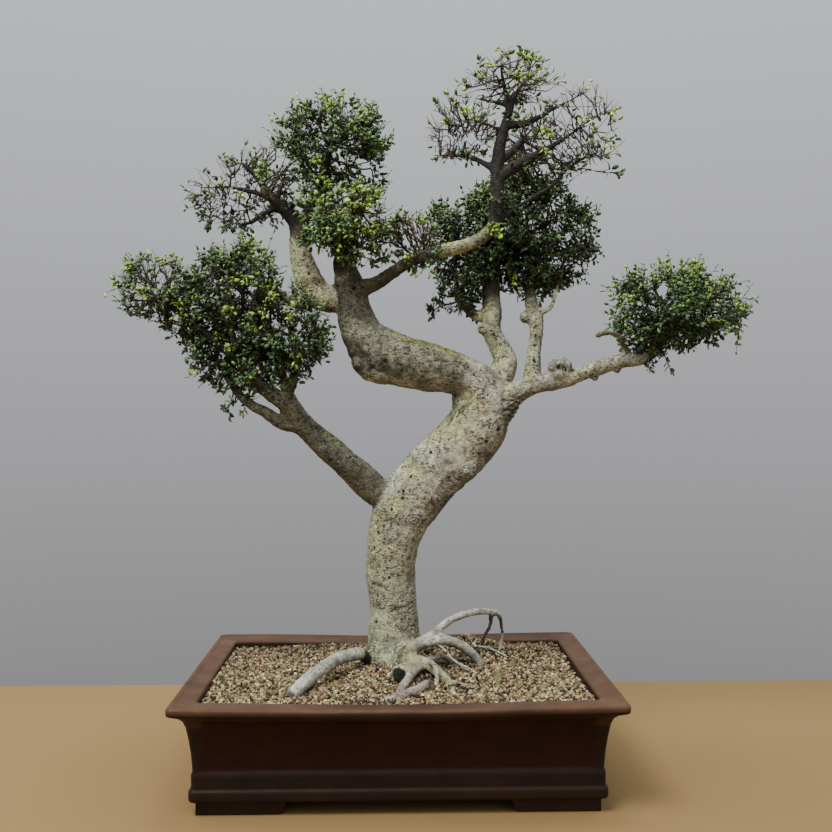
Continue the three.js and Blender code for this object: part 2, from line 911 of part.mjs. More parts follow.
// One node of foliage: the dense middle with leafy shoots standing out of it all round, hollowed where the
// wood runs through it. A shoot that would meet another node is left out.
function foliage({ core, sprays, lobes }, middle, woodWide, others, random) {
  const size = lobes.map(([, , , rx, ry, rz]) => rx * ry + ry * rz + rz * rx);
  const whole = size.reduce((a, b) => a + b);
  const shoots = [];
  lobes.forEach((lobe, n) => {
    const count = Math.round((1.15 * sprays * size[n]) / whole);
    const turn = 6.28 * random();
    for (let i = 0; i < count; i++) {
      const direction = spreadDirection(i, count, turn);
      const end = new THREE.Vector3(lobe[0], lobe[1], lobe[2]).add(
        direction.clone().multiply(new THREE.Vector3(lobe[3], lobe[4], lobe[5])),
      );
      const hidden = lobes.some((o) => o !== lobe && insideLobe(end, o, 0.9));
      const shoot = placedSpray(lobe, core, direction, random);
      const meets = others.some((o) => shoot.intersect(o).volume() > 0);
      if (!hidden && !meets) shoots.push(shoot);
    }
  });
  return largestBody(joined([middle, ...shoots]).subtract(woodWide));
}

// The finish of each kind of piece.
const finishes = {
  bark: new THREE.MeshStandardMaterial({ color: 0x9a9482, roughness: 0.85 }),
  leaf: new THREE.MeshStandardMaterial({ color: 0x3f6a2c, roughness: 0.6 }),
  stoneware: new THREE.MeshStandardMaterial({ color: 0x4a2a22, roughness: 0.7 }),
  grit: new THREE.MeshStandardMaterial({ color: 0x9c8a6e, roughness: 0.95 }),
  mesh: new THREE.MeshStandardMaterial({ color: 0x20221f, roughness: 0.6 }),
};

const bonsai = new THREE.Group();

function addPiece(name, solid, finish) {
  const piece = new THREE.Mesh(geometryOf(solid), finishes[finish]);
  piece.name = name;
  bonsai.add(piece);
}

const random = randomSource(SEED);
const woodWide = wood(CLEARANCE);
const stub = limb(STUB);
addPiece("pot", pot(), "stoneware");
addPiece("drain_screen_left", drainScreen(-DRAIN_SPACING / 2), "mesh");
addPiece("drain_screen_right", drainScreen(DRAIN_SPACING / 2), "mesh");
addPiece("soil", soil(woodWide, limb(STUB, CLEARANCE)), "grit");
addPiece("trunk_branches_and_roots", wood(), "bark");
addPiece("cut_root_stub", stub, "bark");

// Each mass of foliage keeps clear of those already grown and of the dense middles of those still to come.
const masses = Object.entries(FOLIAGE);
const grown = masses.map(([, { core, lobes }]) =>
  joined(
    lobes.map(([x, y, z, ...radii]) =>
      bush([x, y, z, ...radii.map((r) => core * r)], random),
    ),
  ),
);
masses.forEach(([name, mass], n) => {
  const others = grown.filter((_, m) => m !== n);
  grown[n] = foliage(mass, grown[n], woodWide, others, random);
  addPiece(name, grown[n], "leaf");
});

// The origin goes under the middle of the object's bounding box, on the table.
const bounds = new THREE.Box3().setFromObject(bonsai);
const centre = bounds.getCenter(new THREE.Vector3());
bonsai.position.set(-centre.x, -centre.y, -bounds.min.z);

export default bonsai;
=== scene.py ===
"""A chinese elm bonsai in a rectangular stoneware pot: finished wood, leaves, soil and pot.

Lengths below are in millimetres from the middle of the pot's underside, +X right, +Y away, +Z up.
at_pot() turns them into the frame's metres.
"""

import itertools
import math

import bpy
import numpy as np
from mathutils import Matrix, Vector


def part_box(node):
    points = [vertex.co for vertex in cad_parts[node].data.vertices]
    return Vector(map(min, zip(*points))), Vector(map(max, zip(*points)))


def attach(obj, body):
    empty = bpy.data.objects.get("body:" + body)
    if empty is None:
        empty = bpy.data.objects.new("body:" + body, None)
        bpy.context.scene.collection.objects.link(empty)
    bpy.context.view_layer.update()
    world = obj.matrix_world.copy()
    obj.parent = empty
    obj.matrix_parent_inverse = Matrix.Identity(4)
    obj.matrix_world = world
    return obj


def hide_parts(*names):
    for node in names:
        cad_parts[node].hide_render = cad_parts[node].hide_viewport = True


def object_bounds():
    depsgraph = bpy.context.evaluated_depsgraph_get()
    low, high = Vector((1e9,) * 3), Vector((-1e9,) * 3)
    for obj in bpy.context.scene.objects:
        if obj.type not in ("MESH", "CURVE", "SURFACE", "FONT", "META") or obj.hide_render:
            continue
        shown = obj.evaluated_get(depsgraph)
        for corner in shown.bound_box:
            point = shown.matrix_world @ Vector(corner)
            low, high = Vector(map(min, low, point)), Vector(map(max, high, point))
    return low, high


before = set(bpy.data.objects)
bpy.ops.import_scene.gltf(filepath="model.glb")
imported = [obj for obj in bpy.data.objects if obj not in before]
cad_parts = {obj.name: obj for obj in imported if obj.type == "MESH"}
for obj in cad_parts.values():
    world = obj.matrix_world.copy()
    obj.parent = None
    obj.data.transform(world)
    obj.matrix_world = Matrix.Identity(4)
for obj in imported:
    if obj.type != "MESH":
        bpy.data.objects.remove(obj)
cad_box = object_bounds()

MM = 0.001
# Where the model's pot and the whole model lie.
POT_LOW, POT_HIGH = (np.array(corner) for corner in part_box("pot"))
POT_MIDDLE = np.array([*(POT_LOW + POT_HIGH)[:2] / 2, POT_LOW[2]])
CAD_LOW, CAD_HIGH = (np.array(corner) for corner in cad_box)

# The pot.
POT_LENGTH, POT_DEPTH, POT_HEIGHT = (POT_HIGH - POT_LOW) / MM
POT_HALF = np.array([POT_LENGTH, POT_DEPTH]) / 2
RIM_WIDTH = 36.0
RIM_SIDE = 28.0
RIM_SAG = 3.5
CORNER_RADIUS = 8.0
PANEL_SUNK = 1.5
PANEL_REACH = POT_HALF - 37
PANEL_BOTTOM = 50.5
PANEL_TOP = 112.0
PANEL_ZONE = 42.0
WALL_STEP = 2.4
FLOOR_INSET = 32.0
FOOT_HEIGHT = 16.0
FOOT_LENGTH = 106.0
FOOT_DEPTH = 84.0
FOOT_BAND = 30.0
FOOT_INSET = 28.5
FLOOR_TOP = 27.0
DRAIN_RADIUS = 15.0
DRAIN_SPACING = 220.0
# The pot's outside from under the foot's band over the rim: [inset from the rim's edge, height]; and its
# inside down to the floor: [inset at the ends, inset along the front, height].
POT_OUTSIDE = [
    [37.5, 16], [23.8, 16], [21.6, 17.2], [20.9, 19.5], [20.9, 27.6], [21.6, 29.6], [23.8, 30.9],
    [23.5, 32.5], [23.4, 46.2], [24.3, 48.4], [24.8, 50], [24.6, 54], [23.4, 70], [21.4, 85.5],
    [18.4, 102], [15.4, 109.8], [10, 115.2], [3.5, 118.4], [0.7, 119.8], [0, 121.6], [0, 126.4],
    [0.9, 128.4], [2.8, POT_HEIGHT], [6.4, POT_HEIGHT], [7.6, 128], [9, 127.8],
]
POT_INSIDE = [
    [RIM_SIDE - 2, RIM_WIDTH - 2, 126.6], [RIM_SIDE - 0.4, RIM_WIDTH - 0.4, 125.7],
    [RIM_SIDE, RIM_WIDTH, 124], [RIM_SIDE + 0.4, RIM_WIDTH + 0.2, 118], [34.5, 36.5, 108],
    [36, 37.2, 60], [37.5, 37.5, 27], [37.5, 37.5, 16],
]
# Stoneware: brown rim, maroon panel, dark side, worn band, foot and inside floor. The panel and the side are
# kept darker than the clay's own colour as painted shade.
RIM_BROWN, MAROON_IN_SHADE, DARK_CLAY_IN_SHADE, WORN_CLAY, FOOT_CLAY, FLOOR_CLAY = np.array([
    [0.093, 0.044, 0.020], [0.022, 0.0034, 0.0022], [0.019, 0.0086, 0.0056], [0.019, 0.0085, 0.0048],
    [0.026, 0.0125, 0.0075], [0.030, 0.015, 0.012],
])
# The soil.
SOIL_LEVEL = 120.0
SOIL_LOW = 30.0
GRAIN_SIZE = 4.7
GRAINS = 12600
GRAIN_SHADES = np.array([
    [0.42, 0.32, 0.155], [0.31, 0.225, 0.11], [0.60, 0.50, 0.28], [0.15, 0.095, 0.045],
    [0.04, 0.026, 0.014], [0.31, 0.17, 0.08], [0.76, 0.68, 0.46], [0.22, 0.175, 0.10], [0.48, 0.34, 0.16],
])
GRAIN_SHARES = [0.18, 0.17, 0.14, 0.14, 0.13, 0.06, 0.07, 0.07, 0.04]
# The wood: the size of its squares, the sides of its tubes and how far a plain root is from any mark.
WOOD_VOXEL = 2.4
LIMB_STEP = 5
LIMB_SIDES = 20
ROOT_SIDES = 7
STUB_SIDES = 14
UNMARKED = 9.0
# Leaves (their width is a share of their length), shoots and twigs.
LEAF_LENGTH = 10.6
LEAF_WIDTH = 0.56
LEAF_GAP = 3.6
MOST_LEAVES = 8
LEAVES_PER_TWIG = 17
LEAVES_PER_SHOOT = 5.4
SHOOT_LENGTH = 33
SPIKE_LENGTH = 52
TUFT_LENGTH = 18.0
TWIG_RINGS, TWIG_SIDES = 5, 5
SHOOT_RINGS, SHOOT_SIDES = 4, 3
# Dark green, mid green, fresh green and yellow-green; old twigs and young shoots.
LEAF_GREENS = np.array([
    [0.028, 0.056, 0.024], [0.094, 0.174, 0.064], [0.21, 0.335, 0.082], [0.35, 0.53, 0.06],
])
OLD_TWIG, YOUNG_SHOOT = np.array([[0.060, 0.046, 0.030], [0.085, 0.056, 0.032]])
# How far leaves and shoots stay inside the model's box.
LEAF_MARGIN = 1.0 * MM
SHOOT_MARGIN = 1.5 * MM
# The camera and the table.
FOCAL_PIXELS = 971
IMAGE_PIXELS = 832
SENSOR = 36.0
CAMERA_PLACE = (-10.0, -1256.0, 462.0)
CAMERA_TURN = 1.5
CAMERA_DIP = 0.47
TABLE_EDGE = 371.0
TABLE_COLOUR = (0.285, 0.176, 0.058)
# The surround's colours from low to high, and the lamps: name, place and size in metres, watts.
SURROUND = [
    (0.0, (0.235, 0.23, 0.225)), (0.2, (0.355, 0.355, 0.365)), (0.38, (0.48, 0.485, 0.515)),
    (0.62, (0.68, 0.695, 0.735)), (1.0, (0.78, 0.80, 0.84)),
]
LAMPS = [
    ("key", (-0.85, -0.95, 2.1), 0.9, 50), ("fill", (1.5, -1.4, 1.3), 1.4, 4),
    ("top", (0.1, 0.25, 2.4), 1.0, 26),
]

# The tree's wood: points [x, y, z, radius] along each limb.
TRUNK = [
    [-8, 46, 70, 33], [-7, 46, 103, 36], [-6.5, 45, 131, 36], [-6, 44, 164, 34.5], [-7, 43, 205, 31.5],
    [-9, 42, 245, 32.5], [-4.5, 41, 285, 36], [5.5, 40, 318, 39.5], [27, 38, 352, 41.5],
    [55, 36, 386, 41.5], [86, 34, 414, 40.5], [109, 32, 446, 38.5], [114, 30, 475, 33], [98, 28, 497, 28],
    [74, 27, 508, 27.5], [42, 26, 515, 31.5], [9, 26, 523, 34.5], [-21, 27, 536, 32.5],
    [-45, 29, 556, 28.5], [-56, 31, 581, 24], [-62, 33, 605, 22], [-66, 33, 629, 19.5], [-69, 30, 650, 13],
]
BRANCHES = {
    "left": [
        [-2, 40, 335, 21], [-32, 38, 353, 20], [-53, 30, 375, 20], [-72, 20, 391, 16.5],
        [-93, 12, 405, 12.5], [-112, 4, 424, 11.5], [-129, -4, 445, 12], [-142, -10, 466, 11.5],
        [-161, -14, 479, 10], [-182, -18, 498, 8.3], [-201, -20, 523, 6.3], [-212, -20, 560, 4.6],
    ],
    "left_low": [
        [-122, -3, 437, 9], [-148, -8, 442, 8.3], [-169, -12, 456, 7.6], [-189, -14, 467, 6.4],
        [-211, -10, 489, 5], [-226, 0, 515, 3.8],
    ],
    "left_rear": [
        [-58, 30, 380, 14], [-80, 40, 409, 10], [-102, 52, 427, 8], [-126, 60, 449, 7.2],
        [-146, 58, 480, 6.6], [-158, 44, 520, 5.6], [-166, 26, 556, 4.4],
    ],
    "left_tip": [[-198, -20, 518, 6], [-234, -24, 549, 5], [-268, -24, 578, 4.4], [-300, -22, 602, 3.6]],
    "left_right": [[-146, -11, 468, 8], [-134, -18, 498, 6.3], [-128, -18, 523, 5], [-132, -14, 552, 3.8]],
    "upper_left": [
        [-58, 33, 606, 18], [-85, 38, 606, 18.6], [-104, 46, 612, 19], [-119, 52, 632, 18.8],
        [-128, 56, 656, 16.7], [-133, 58, 678, 14], [-134, 58, 697, 13], [-138, 57, 713, 11.6],
        [-150, 56, 726, 10], [-163, 54, 738, 8.4], [-172, 54, 748, 6.4], [-187, 52, 768, 4],
        [-209, 50, 790, 2.4],
    ],
    "upper_left_mid": [
        [-170, 54, 744, 4.6], [-196, 52, 752, 3.2], [-230, 50, 757, 2.3], [-262, 48, 756, 1.4],
    ],
    "upper_left_low": [
        [-158, 55, 733, 5], [-181, 54, 722, 3.6], [-203, 50, 708, 2.7], [-227, 50, 712, 2],
        [-250, 50, 720, 1.3],
    ],
    "dome": [
        [-130, 57, 706, 9.4], [-119, 54, 728, 7.6], [-107, 50, 752, 6.6], [-97, 48, 782, 5.4],
        [-90, 47, 814, 4],
    ],
    "upper_left_stub": [
        [-106, 47, 612, 13], [-128, 56, 604, 10.8], [-146, 58, 608, 8.1], [-168, 50, 620, 6],
        [-186, 40, 628, 4.6],
    ],
    "centre": [
        [-66, 31, 626, 17], [-74, 24, 654, 11.8], [-69, 14, 675, 8.6], [-58, 0, 694, 6.4],
        [-50, -12, 712, 4.8],
    ],
    "right_limb": [
        [-64, 32, 610, 17], [-48, 26, 619, 12.5], [-28, 18, 626, 9.2], [-8, 10, 638, 8.5],
        [13, 2, 651, 8.4], [33, -5, 659, 8.8], [56, -10, 663, 8.7], [81, -14, 669, 8.4], [104, -17, 678, 8],
        [118, -18, 690, 8.3], [125, -18, 712, 8.9], [126, -17, 740, 8.9], [126, -16, 769, 8.3],
        [129, -15, 794, 7.6], [135, -14, 818, 6.4], [142, -12, 841, 5.1], [149, -10, 866, 3.8],
    ],
    "crown_right": [
        [126, -16, 752, 7.7], [142, -18, 766, 7.4], [156, -20, 774, 6.9], [170, -22, 781, 6],
        [189, -22, 792, 4.2], [206, -20, 802, 2.6], [228, -16, 818, 2], [251, -12, 834, 1.5],
        [274, -10, 842, 1.1],
    ],
    "crown_low": [
        [130, -16, 703, 4.6], [144, -16, 713, 3.4], [169, -14, 730, 2.9], [196, -10, 747, 2.6],
        [220, -4, 772, 2.3], [240, 3, 786, 1.8], [268, 6, 793, 1.3],
    ],
    "crown_low_tip": [[219, -4, 771, 1.9], [244, 2, 772, 1.6], [280, 6, 769, 1.4], [300, 8, 773, 1.1]],
    "crown_left": [
        [125, -17, 763, 5], [110, -14, 775, 3.6], [89, -10, 784, 2.8], [69, -6, 787, 2.1],
        [46, -2, 788, 1.3],
    ],
    "crown_left_up": [[135, -13, 851, 2.8], [110, -8, 858, 1.8], [74, -4, 864, 1.1]],
    "crown_left_mid": [[130, -14, 818, 2.6], [101, -20, 826, 1.8], [65, -26, 814, 1.1]],
    "crown_stem_up": [
        [142, -12, 841, 5.1], [139, -13, 859, 3.6], [134, -15, 879, 2.6], [131, -16, 899, 1.8],
    ],
    "crown_arm": [
        [142, -13, 824, 5.3], [162, -12, 827, 4.6], [181, -8, 836, 3.3], [201, -4, 849, 2.5],
        [223, -2, 860, 1.8], [248, 2, 874, 1.2],
    ],
    "crown_back": [[128, -15, 776, 5.8], [142, 12, 792, 5.2], [156, 34, 808, 4.4], [166, 50, 824, 3.4]],
    "upright": [
        [112, 31, 470, 20], [132, 38, 499, 18.7], [144, 44, 524, 16.4], [136, 50, 546, 14],
        [127, 56, 566, 12.8], [128, 62, 590, 12.8], [127, 68, 612, 12.2], [126, 74, 644, 11],
        [128, 80, 674, 8.4], [134, 84, 704, 6],
    ],
    "upright_arm": [[128, 62, 593, 9.6], [109, 64, 587, 8.2], [92, 66, 602, 6.2], [82, 68, 626, 4.8]],
    "right": [
        [113, 29, 446, 22], [137, 26, 462, 21], [149, 24, 477, 17], [163, 22, 486, 13.8],
        [186, 20, 494, 11.9], [208, 19, 497, 11.2], [225, 18, 500, 10], [243, 17, 508, 9.8],
        [267, 17, 516, 9.8], [293, 18, 524, 9.8], [320, 20, 528, 9.8], [340, 22, 539, 7.9],
        [358, 24, 559, 6], [370, 24, 580, 4.6],
    ],
    "second_upright": [
        [176, 21, 492, 13], [178, 24, 515, 11.2], [180, 28, 536, 9.3], [184, 34, 559, 9.3],
        [185, 42, 580, 10.2], [181, 50, 597, 9.4], [179, 60, 622, 7.4], [182, 70, 652, 6],
        [186, 78, 680, 4.6],
    ],
    "second_twig": [[186, 44, 590, 5.2], [203, 46, 595, 3.4], [211, 50, 609, 2.8], [217, 57, 630, 2.4]],
    "snag": [
        [301, 18, 526, 6], [298, 16, 543, 4.4], [291, 12, 555, 3.8], [280, 8, 560, 3.6], [269, 4, 560, 3.8],
        [258, 0, 557, 3.9],
    ],
}
ROOTS = {
    "long_left": [
        [-40, 30, 128, 6.5], [-46, 23, 135, 7.6], [-51, 14, 140.5, 8.6], [-59, 3, 142, 8.6],
        [-74, -12, 142, 8.5], [-90, -44, 140, 8.6], [-106, -72, 135, 8.2], [-118, -94, 129, 8.1],
        [-127, -107, 122, 8.2],
    ],
    "arch": [
        [-10, 32, 134, 12], [2, 12, 142, 10.6], [18, 5, 149.5, 9.2], [32, 1, 159, 7.9], [41, -1, 165, 7.2],
        [51, 4, 173, 5.5], [67, 15, 182.5, 5.1], [87, 28, 188, 5], [107, 42, 189, 4.8], [125, 54, 186, 4.4],
        [137, 62, 181, 3.4], [141, 66, 167, 2.5], [143, 68, 151, 2.4], [138, 66, 128, 2.3],
    ],
    "arch_tip": [[126, 55, 186, 3.4], [125, 60, 165, 2.5], [117, 62, 150, 2.4], [113, 63, 130, 2.3]],
    "root_right": [
        [36, -3, 159, 7.2], [60, -1, 161.5, 6.9], [75, 6, 155.5, 6.8], [89, 13, 146, 6.6],
        [103, 20, 131.5, 6.1], [111, 25, 116, 5.4],
    ],
    "saddle": [
        [-6, 26, 124, 11], [9, 6, 133, 8.6], [25, -10, 137, 7.8], [38, -22, 135, 7.4], [49, -38, 130, 7],
        [58, -52, 124, 6.7], [68, -64, 113, 5.8],
    ],
    "drape": [[38, -26, 141, 3.6], [44, -46, 141, 3.4], [47, -60, 134, 3.2], [45.5, -66, 112, 2.9]],
    "front_upper": [
        [38, -12, 133, 5.4], [26, -30, 133, 5.5], [16, -50, 131, 5.8], [8, -72, 126.5, 5.4],
        [1, -88, 121, 4.6], [-3, -96, 113, 4],
    ],
    "front_lower": [
        [36, -44, 118, 4.6], [32, -62, 120.5, 5.4], [25, -80, 120.5, 5.8], [9, -99, 120, 6],
        [-7, -114, 119, 5.6], [-20, -122, 116, 4.4], [-26, -126, 111, 3.2],
    ],
    "root_small": [[14, 8, 134, 4.6], [41, 2, 136, 3.4], [58, 14, 136, 3.1], [72, 26, 124, 2.7]],
    "cut_end": [[34, -12, 136, 8.2], [18, -30, 135, 9.2], [6, -46, 133, 10.8], [0.5, -56, 131.5, 11.6]],
}
# Thin dry roots that lie over the soil, and a short cut root that stands in it.
WHISKERS = [
    
    [[45, -4, 160, 1.7], [57, -8, 153, 1.6], [70, -14, 139, 1.6], [87, -18, 130, 1.5], [107, -20, 119, 1.3]],
    [[103, 50, 141, 1.6], [124, 56, 136, 1.6], [139, 56, 129, 1.5], [155, 54, 119, 1.3]],
    [[6, 3, 157, 1.2], [-5, -2, 152, 1.2], [-8, -5, 143, 1.2], [-9, -8, 130, 1.1], [-9, -11, 120, 1]],
    [[9, 0, 156, 1.2], [-1, -4, 149, 1.2], [-3, -6, 139, 1.1], [-1, -12, 127, 1]],
    [[60, -50, 124, 1.6], [80, -62, 121, 1.4], [104, -66, 118, 1.2]],
    [[-13, -62, 128, 1.1], [-8, -61, 138, 1.2], [-3, -61, 143, 1.3], [3, -60, 141, 1.3], [9, -58, 137, 1.2]],
]
STUB = [[125, -48, 104, 4.6], [125, -48, 124, 4.4], [125, -48, 139, 4.2]]
# Swellings where old branches were cut: [x, y, z, radii along x, y, z].
KNOTS = [
    [85, 30, 470, 14, 14, 17], [-50, 28, 538, 18, 20, 16], [-14, 22, 508, 24, 20, 15],
    [-43, 26, 523, 19, 20, 18], [-36, 25, 516, 18, 19, 19], [-20, 24, 510, 20, 19, 17],
    [-6, 8, 322, 11, 9, 10], [88, 6, 384, 13, 10, 12], [14, 18, 140, 16, 14, 17], [-6, 14, 128, 15, 12, 15],
    [212, 17, 506, 18, 13, 11], [203, 13, 516, 7.5, 8, 7], [213, 9, 519, 6.5, 6, 6.5],
    [222, 12, 517, 6.5, 7, 8], [216, 18, 525, 6, 6, 5.5], [206, 20, 521, 5.5, 6, 5.5],
    [172, 44, 584, 9, 9, 9], [150, 36, 523, 9, 9, 8], [114, 52, 568, 7, 8, 7], [111, 24, 511, 8, 9, 7.5],
    [148, 36, 503, 7, 8, 6], [178, 14, 500, 9, 7, 6], [190, 14, 498, 8, 7, 6], [258.6, 17, 501, 4.5, 5, 4],
    [289, 18, 511.5, 4.5, 5, 4], [260, 1, 557, 4.4, 4.6, 4.4],
]
# Marks on the front of the bark: healed cuts [x, z, radius of the raised ring], pits [x, z, radius], and
# cracks as lines of [x, z].
SCARS = [
    [147, 508, 6], [118, 522, 5], [128, 548, 5], [88, 381, 9], [75.5, 362.6, 5], [52.8, 344.4, 4.5],
    [20, 316, 12], [-31, 509.7, 5.5], [-41, 519, 7], [-11, 292, 6], [111, 511, 6], [-24, 205, 9],
    [3, 176, 7], [-60, 402, 6], [-96, 408, 5],
]
PITS = [
    [6, 354, 3.2], [5, 345, 3.6], [-26, 299, 3], [114, 418, 4], [4.6, 510.6, 2.6], [-16.6, 522, 4],
    [116, 479, 2.4], [118, 438, 2.2], [120, 447, 2.4], [-9, 331, 3], [16, 373, 3], [42, 405, 3],
    [209, 515, 4.5], [219, 512, 3], [179, 524.5, 4.5], [180, 545, 2.6], [182, 558.5, 3], [128, 560, 3],
    [-12, 240, 3], [-30, 180, 3], [98, 505, 2.6], [91, 515, 2.6], [130, 434, 4], [-58, 618, 4],
    [-80, 622, 3], [-118, 640, 3],
]
CRACKS = [
    [[74, 417], [91, 405.5], [107, 399.5], [120, 402]], [[64, 440], [72, 451], [88, 459.5]],
    [[68, 453], [76, 458], [86, 464], [95, 468], [104, 464], [112, 466]], [[39, 522], [52, 524], [65, 522]],
    [[90, 517], [100, 503]], [[-20, 270], [-6, 262], [10, 256]], [[-33, 232], [-16, 226], [2, 229]],
    [[-30, 205], [-20, 197], [-8, 196], [0, 201]], [[140, 452], [150, 446], [158, 452]],
    [[138, 462], [150, 458], [164, 466]], [[136, 474], [150, 472], [166, 479]],
]
# Foliage: lobes [x, y, z, radii along x and y, radius above, radius below], the limbs that feed them, how
# many leaves, how bare the twigs are (0 to 1), how much young growth there is (0 to 1) and the leaves'
# size as a share of the usual one.
PADS = {
    "foliage_left": (
        [
            [-210, 2, 613, 71, 74, 70, 67], [-145, -8, 554, 60, 66, 77, 67], [-226, 8, 531, 57, 54, 49, 47],
            [-273, 0, 580, 49, 44, 44, 41], [-211, -6, 475, 20, 22, 22, 28],
            [-176, -24, 502, 42, 26, 30, 24],
        ],
        ["left", "left_low", "left_rear", "left_right"], 6600, 0.05, 0.35, 0.8,
    ),
    "foliage_left_tip": (
        [[-312, -20, 615, 53, 50, 48, 43]],
        ["left_tip"], 720, 0.45, 0.6, 0.8,
    ),
    "foliage_upper_left": (
        [[-210, 50, 749, 76, 56, 53, 53], [-160, 50, 784, 52, 44, 42, 42]],
        ["upper_left", "upper_left_mid", "upper_left_low"], 820, 0.75, 0.5, 0.88,
    ),
    "foliage_top_left": (
        [[-88, 50, 817, 84, 76, 66, 60], [-46, 46, 776, 38, 44, 30, 30]],
        ["dome"], 2300, 0.25, 0.5, 0.88,
    ),
    "foliage_centre": (
        [
            [-53, -18, 699, 66, 58, 51, 53], [-103, 14, 732, 30, 38, 32, 30],
            [-38, -6, 668, 42, 36, 30, 26], [-98, 6, 692, 32, 32, 32, 32],
        ],
        ["centre", "dome"], 2050, 0.35, 1.0, 0.84,
    ),
    "foliage_centre_right": (
        [[19, -8, 676, 41, 36, 41, 35]],
        ["right_limb"], 400, 0.6, 0.6, 0.84,
    ),
    "foliage_crown_top": (
        [[146, -10, 875, 69, 58, 45, 39]],
        ["right_limb", "crown_stem_up", "crown_arm"], 255, 0.8, 0.8, 1.05,
    ),
    "foliage_crown_left": (
        [[81, -4, 815, 49, 46, 50, 40]],
        ["crown_left", "crown_left_up", "crown_left_mid"], 230, 0.85, 0.7, 0.98,
    ),
    "foliage_crown_right": (
        [[238, -10, 823, 54, 54, 56, 49], [250, 4, 787, 48, 40, 31, 30], [182, -10, 806, 54, 48, 46, 46]],
        ["crown_right", "crown_low", "crown_low_tip", "crown_arm"], 300, 0.85, 0.75, 1.02,
    ),
    "foliage_crown_back": (
        [[172, 56, 823, 51, 44, 42, 42], [196, 60, 788, 56, 44, 40, 40]],
        ["crown_back"], 420, 0.7, 0.5, 0.9,
    ),
    "foliage_right": (
        [
            [181, 86, 696, 115, 80, 104, 91], [91, 74, 680, 64, 62, 85, 79], [61, 60, 603, 18, 18, 22, 28],
            [93, 56, 597, 14, 16, 16, 25], [130, -22, 722, 26, 17, 40, 40],
        ],
        ["upright", "upright_arm", "second_upright", "second_twig", "right_limb"], 8300, 0.0, 0.15, 0.82,
    ),
    "foliage_far_right": (
        [[373, 24, 584, 106, 78, 79, 47], [350, 14, 533, 27, 24, 21, 26], [316, 8, 545, 26, 22, 22, 13]],
        ["right", "snag"], 3500, 0.05, 0.45, 0.84,
    ),
}
# Bright young growth at the front of each cloud: where each tuft's shoots end.
TUFTS = {
    "foliage_left": [
        [-274, -40, 589], [-263, -38, 592], [-270, -40, 575], [-204, -66, 614], [-188, -63, 617],
        [-181, -60, 622], [-154, -51, 607], [-158, -55, 599], [-202, -57, 580], [-173, -60, 573],
        [-180, -57, 563], [-212, -40, 535], [-123, -57, 522], [-131, -62, 583], [-129, -64, 577],
        [-163, 2, 667], [-169, -10, 669], [-182, -29, 669], [-198, -28, 675], [-258, -23, 506],
        [-234, -36, 552],
    ],
    "foliage_left_tip": [
        [-330, -54, 643], [-335, -57, 635], [-288, -45, 649], [-279, -45, 642], [-310, -64, 603],
        [-318, -64, 604], [-355, -47, 613],
    ],
    "foliage_upper_left": [[-206, 0, 737], [-233, 1, 749], [-173, 8, 766]],
    "foliage_top_left": [
        [-136, 50, 875], [-44, -4, 841], [-52, -5, 847], [-172, 50, 838], [-101, -5, 782], [-104, 22, 763],
    ],
    "foliage_centre": [
        [-46, -55, 736], [-58, -69, 712], [-66, -70, 706], [-34, -67, 713], [-28, -66, 711],
        [-36, -67, 684], [-32, -66, 683], [-63, -67, 680], [-54, -67, 678], [-72, -34, 651],
        [-101, -42, 726], [-111, -18, 729], [-88, -18, 744],
    ],
    "foliage_centre_right": [[15, -32, 653], [20, -8, 636]],
    "foliage_crown_top": [
        [128, -10, 920], [129, -51, 901], [161, -53, 900], [163, -57, 894], [99, -49, 875], [108, -53, 884],
        [150, -63, 878], [169, -60, 874],
    ],
    "foliage_crown_left": [[66, -4, 867], [67, -30, 851], [83, -43, 834], [88, -44, 829], [58, -41, 821]],
    "foliage_crown_right": [
        [184, -54, 801], [188, -53, 799], [186, -46, 780], [233, -59, 816], [244, -52, 798],
        [265, -41, 794], [267, -52, 828],
    ],
    "foliage_right": [
        [116, -42, 683], [122, -42, 681], [128, -42, 676], [158, 37, 630], [27, 74, 647], [41, 50, 644],
        [152, 39, 630],
    ],
    "foliage_far_right": [
        [347, 0, 656], [349, -11, 651], [396, 24, 662], [380, -16, 649], [375, -20, 646], [405, -33, 626],
        [277, 24, 619], [293, -17, 609], [392, -45, 602], [445, -27, 597], [441, -30, 595], [452, 24, 548],
        [341, -3, 653],
    ],
}


# Shapes that several pieces share.


def at_pot(points):
    """Millimetres from the middle of the pot's underside, as metres in the frame."""
    return np.asarray(points, float) * MM + POT_MIDDLE


def unit(vectors):
    """Vectors divided by their lengths."""
    return vectors / np.maximum(np.linalg.norm(vectors, axis=-1, keepdims=True), 1e-9)


def smoothstep(low, high, x):
    """0 below low, 1 above high, and 3t^2 - 2t^3 between."""
    t = np.clip((x - low) / (high - low), 0, 1)
    return t * t * (3 - 2 * t)


def cloud(points, size, seed=0):
    """Smooth noise from -1 to 1: random values on a cubic lattice of that size, blended from its eight
    corners with 3t^2 - 2t^3."""
    place = points / size
    base = np.floor(place).astype(np.int64)
    t = place - base
    t = t * t * (3 - 2 * t)
    total = np.zeros(len(points))
    for corner in np.ndindex(2, 2, 2):
        i = base + corner
        key = (i[:, 0] * 73856093) ^ (i[:, 1] * 19349663) ^ (i[:, 2] * 83492791) ^ (seed * 9781)
        key = (key ^ (key >> 13)) * 1274126177 & 0xFFFFFFFF
        key = (key ^ (key >> 16)) & 0xFFFF
        total += (key / 32767.5 - 1) * np.prod(np.where(corner, t, 1 - t), axis=1)
    return total


def cubic(t, start, leave, end, arrive):
    """The cubic from start (t = 0), in the direction leave, to end (t = 1), in the direction arrive."""
    return (
        (2 * t**3 - 3 * t**2 + 1) * start
        + (t**3 - 2 * t**2 + t) * leave
        + (3 * t**2 - 2 * t**3) * end
        + (t**3 - t**2) * arrive
    )


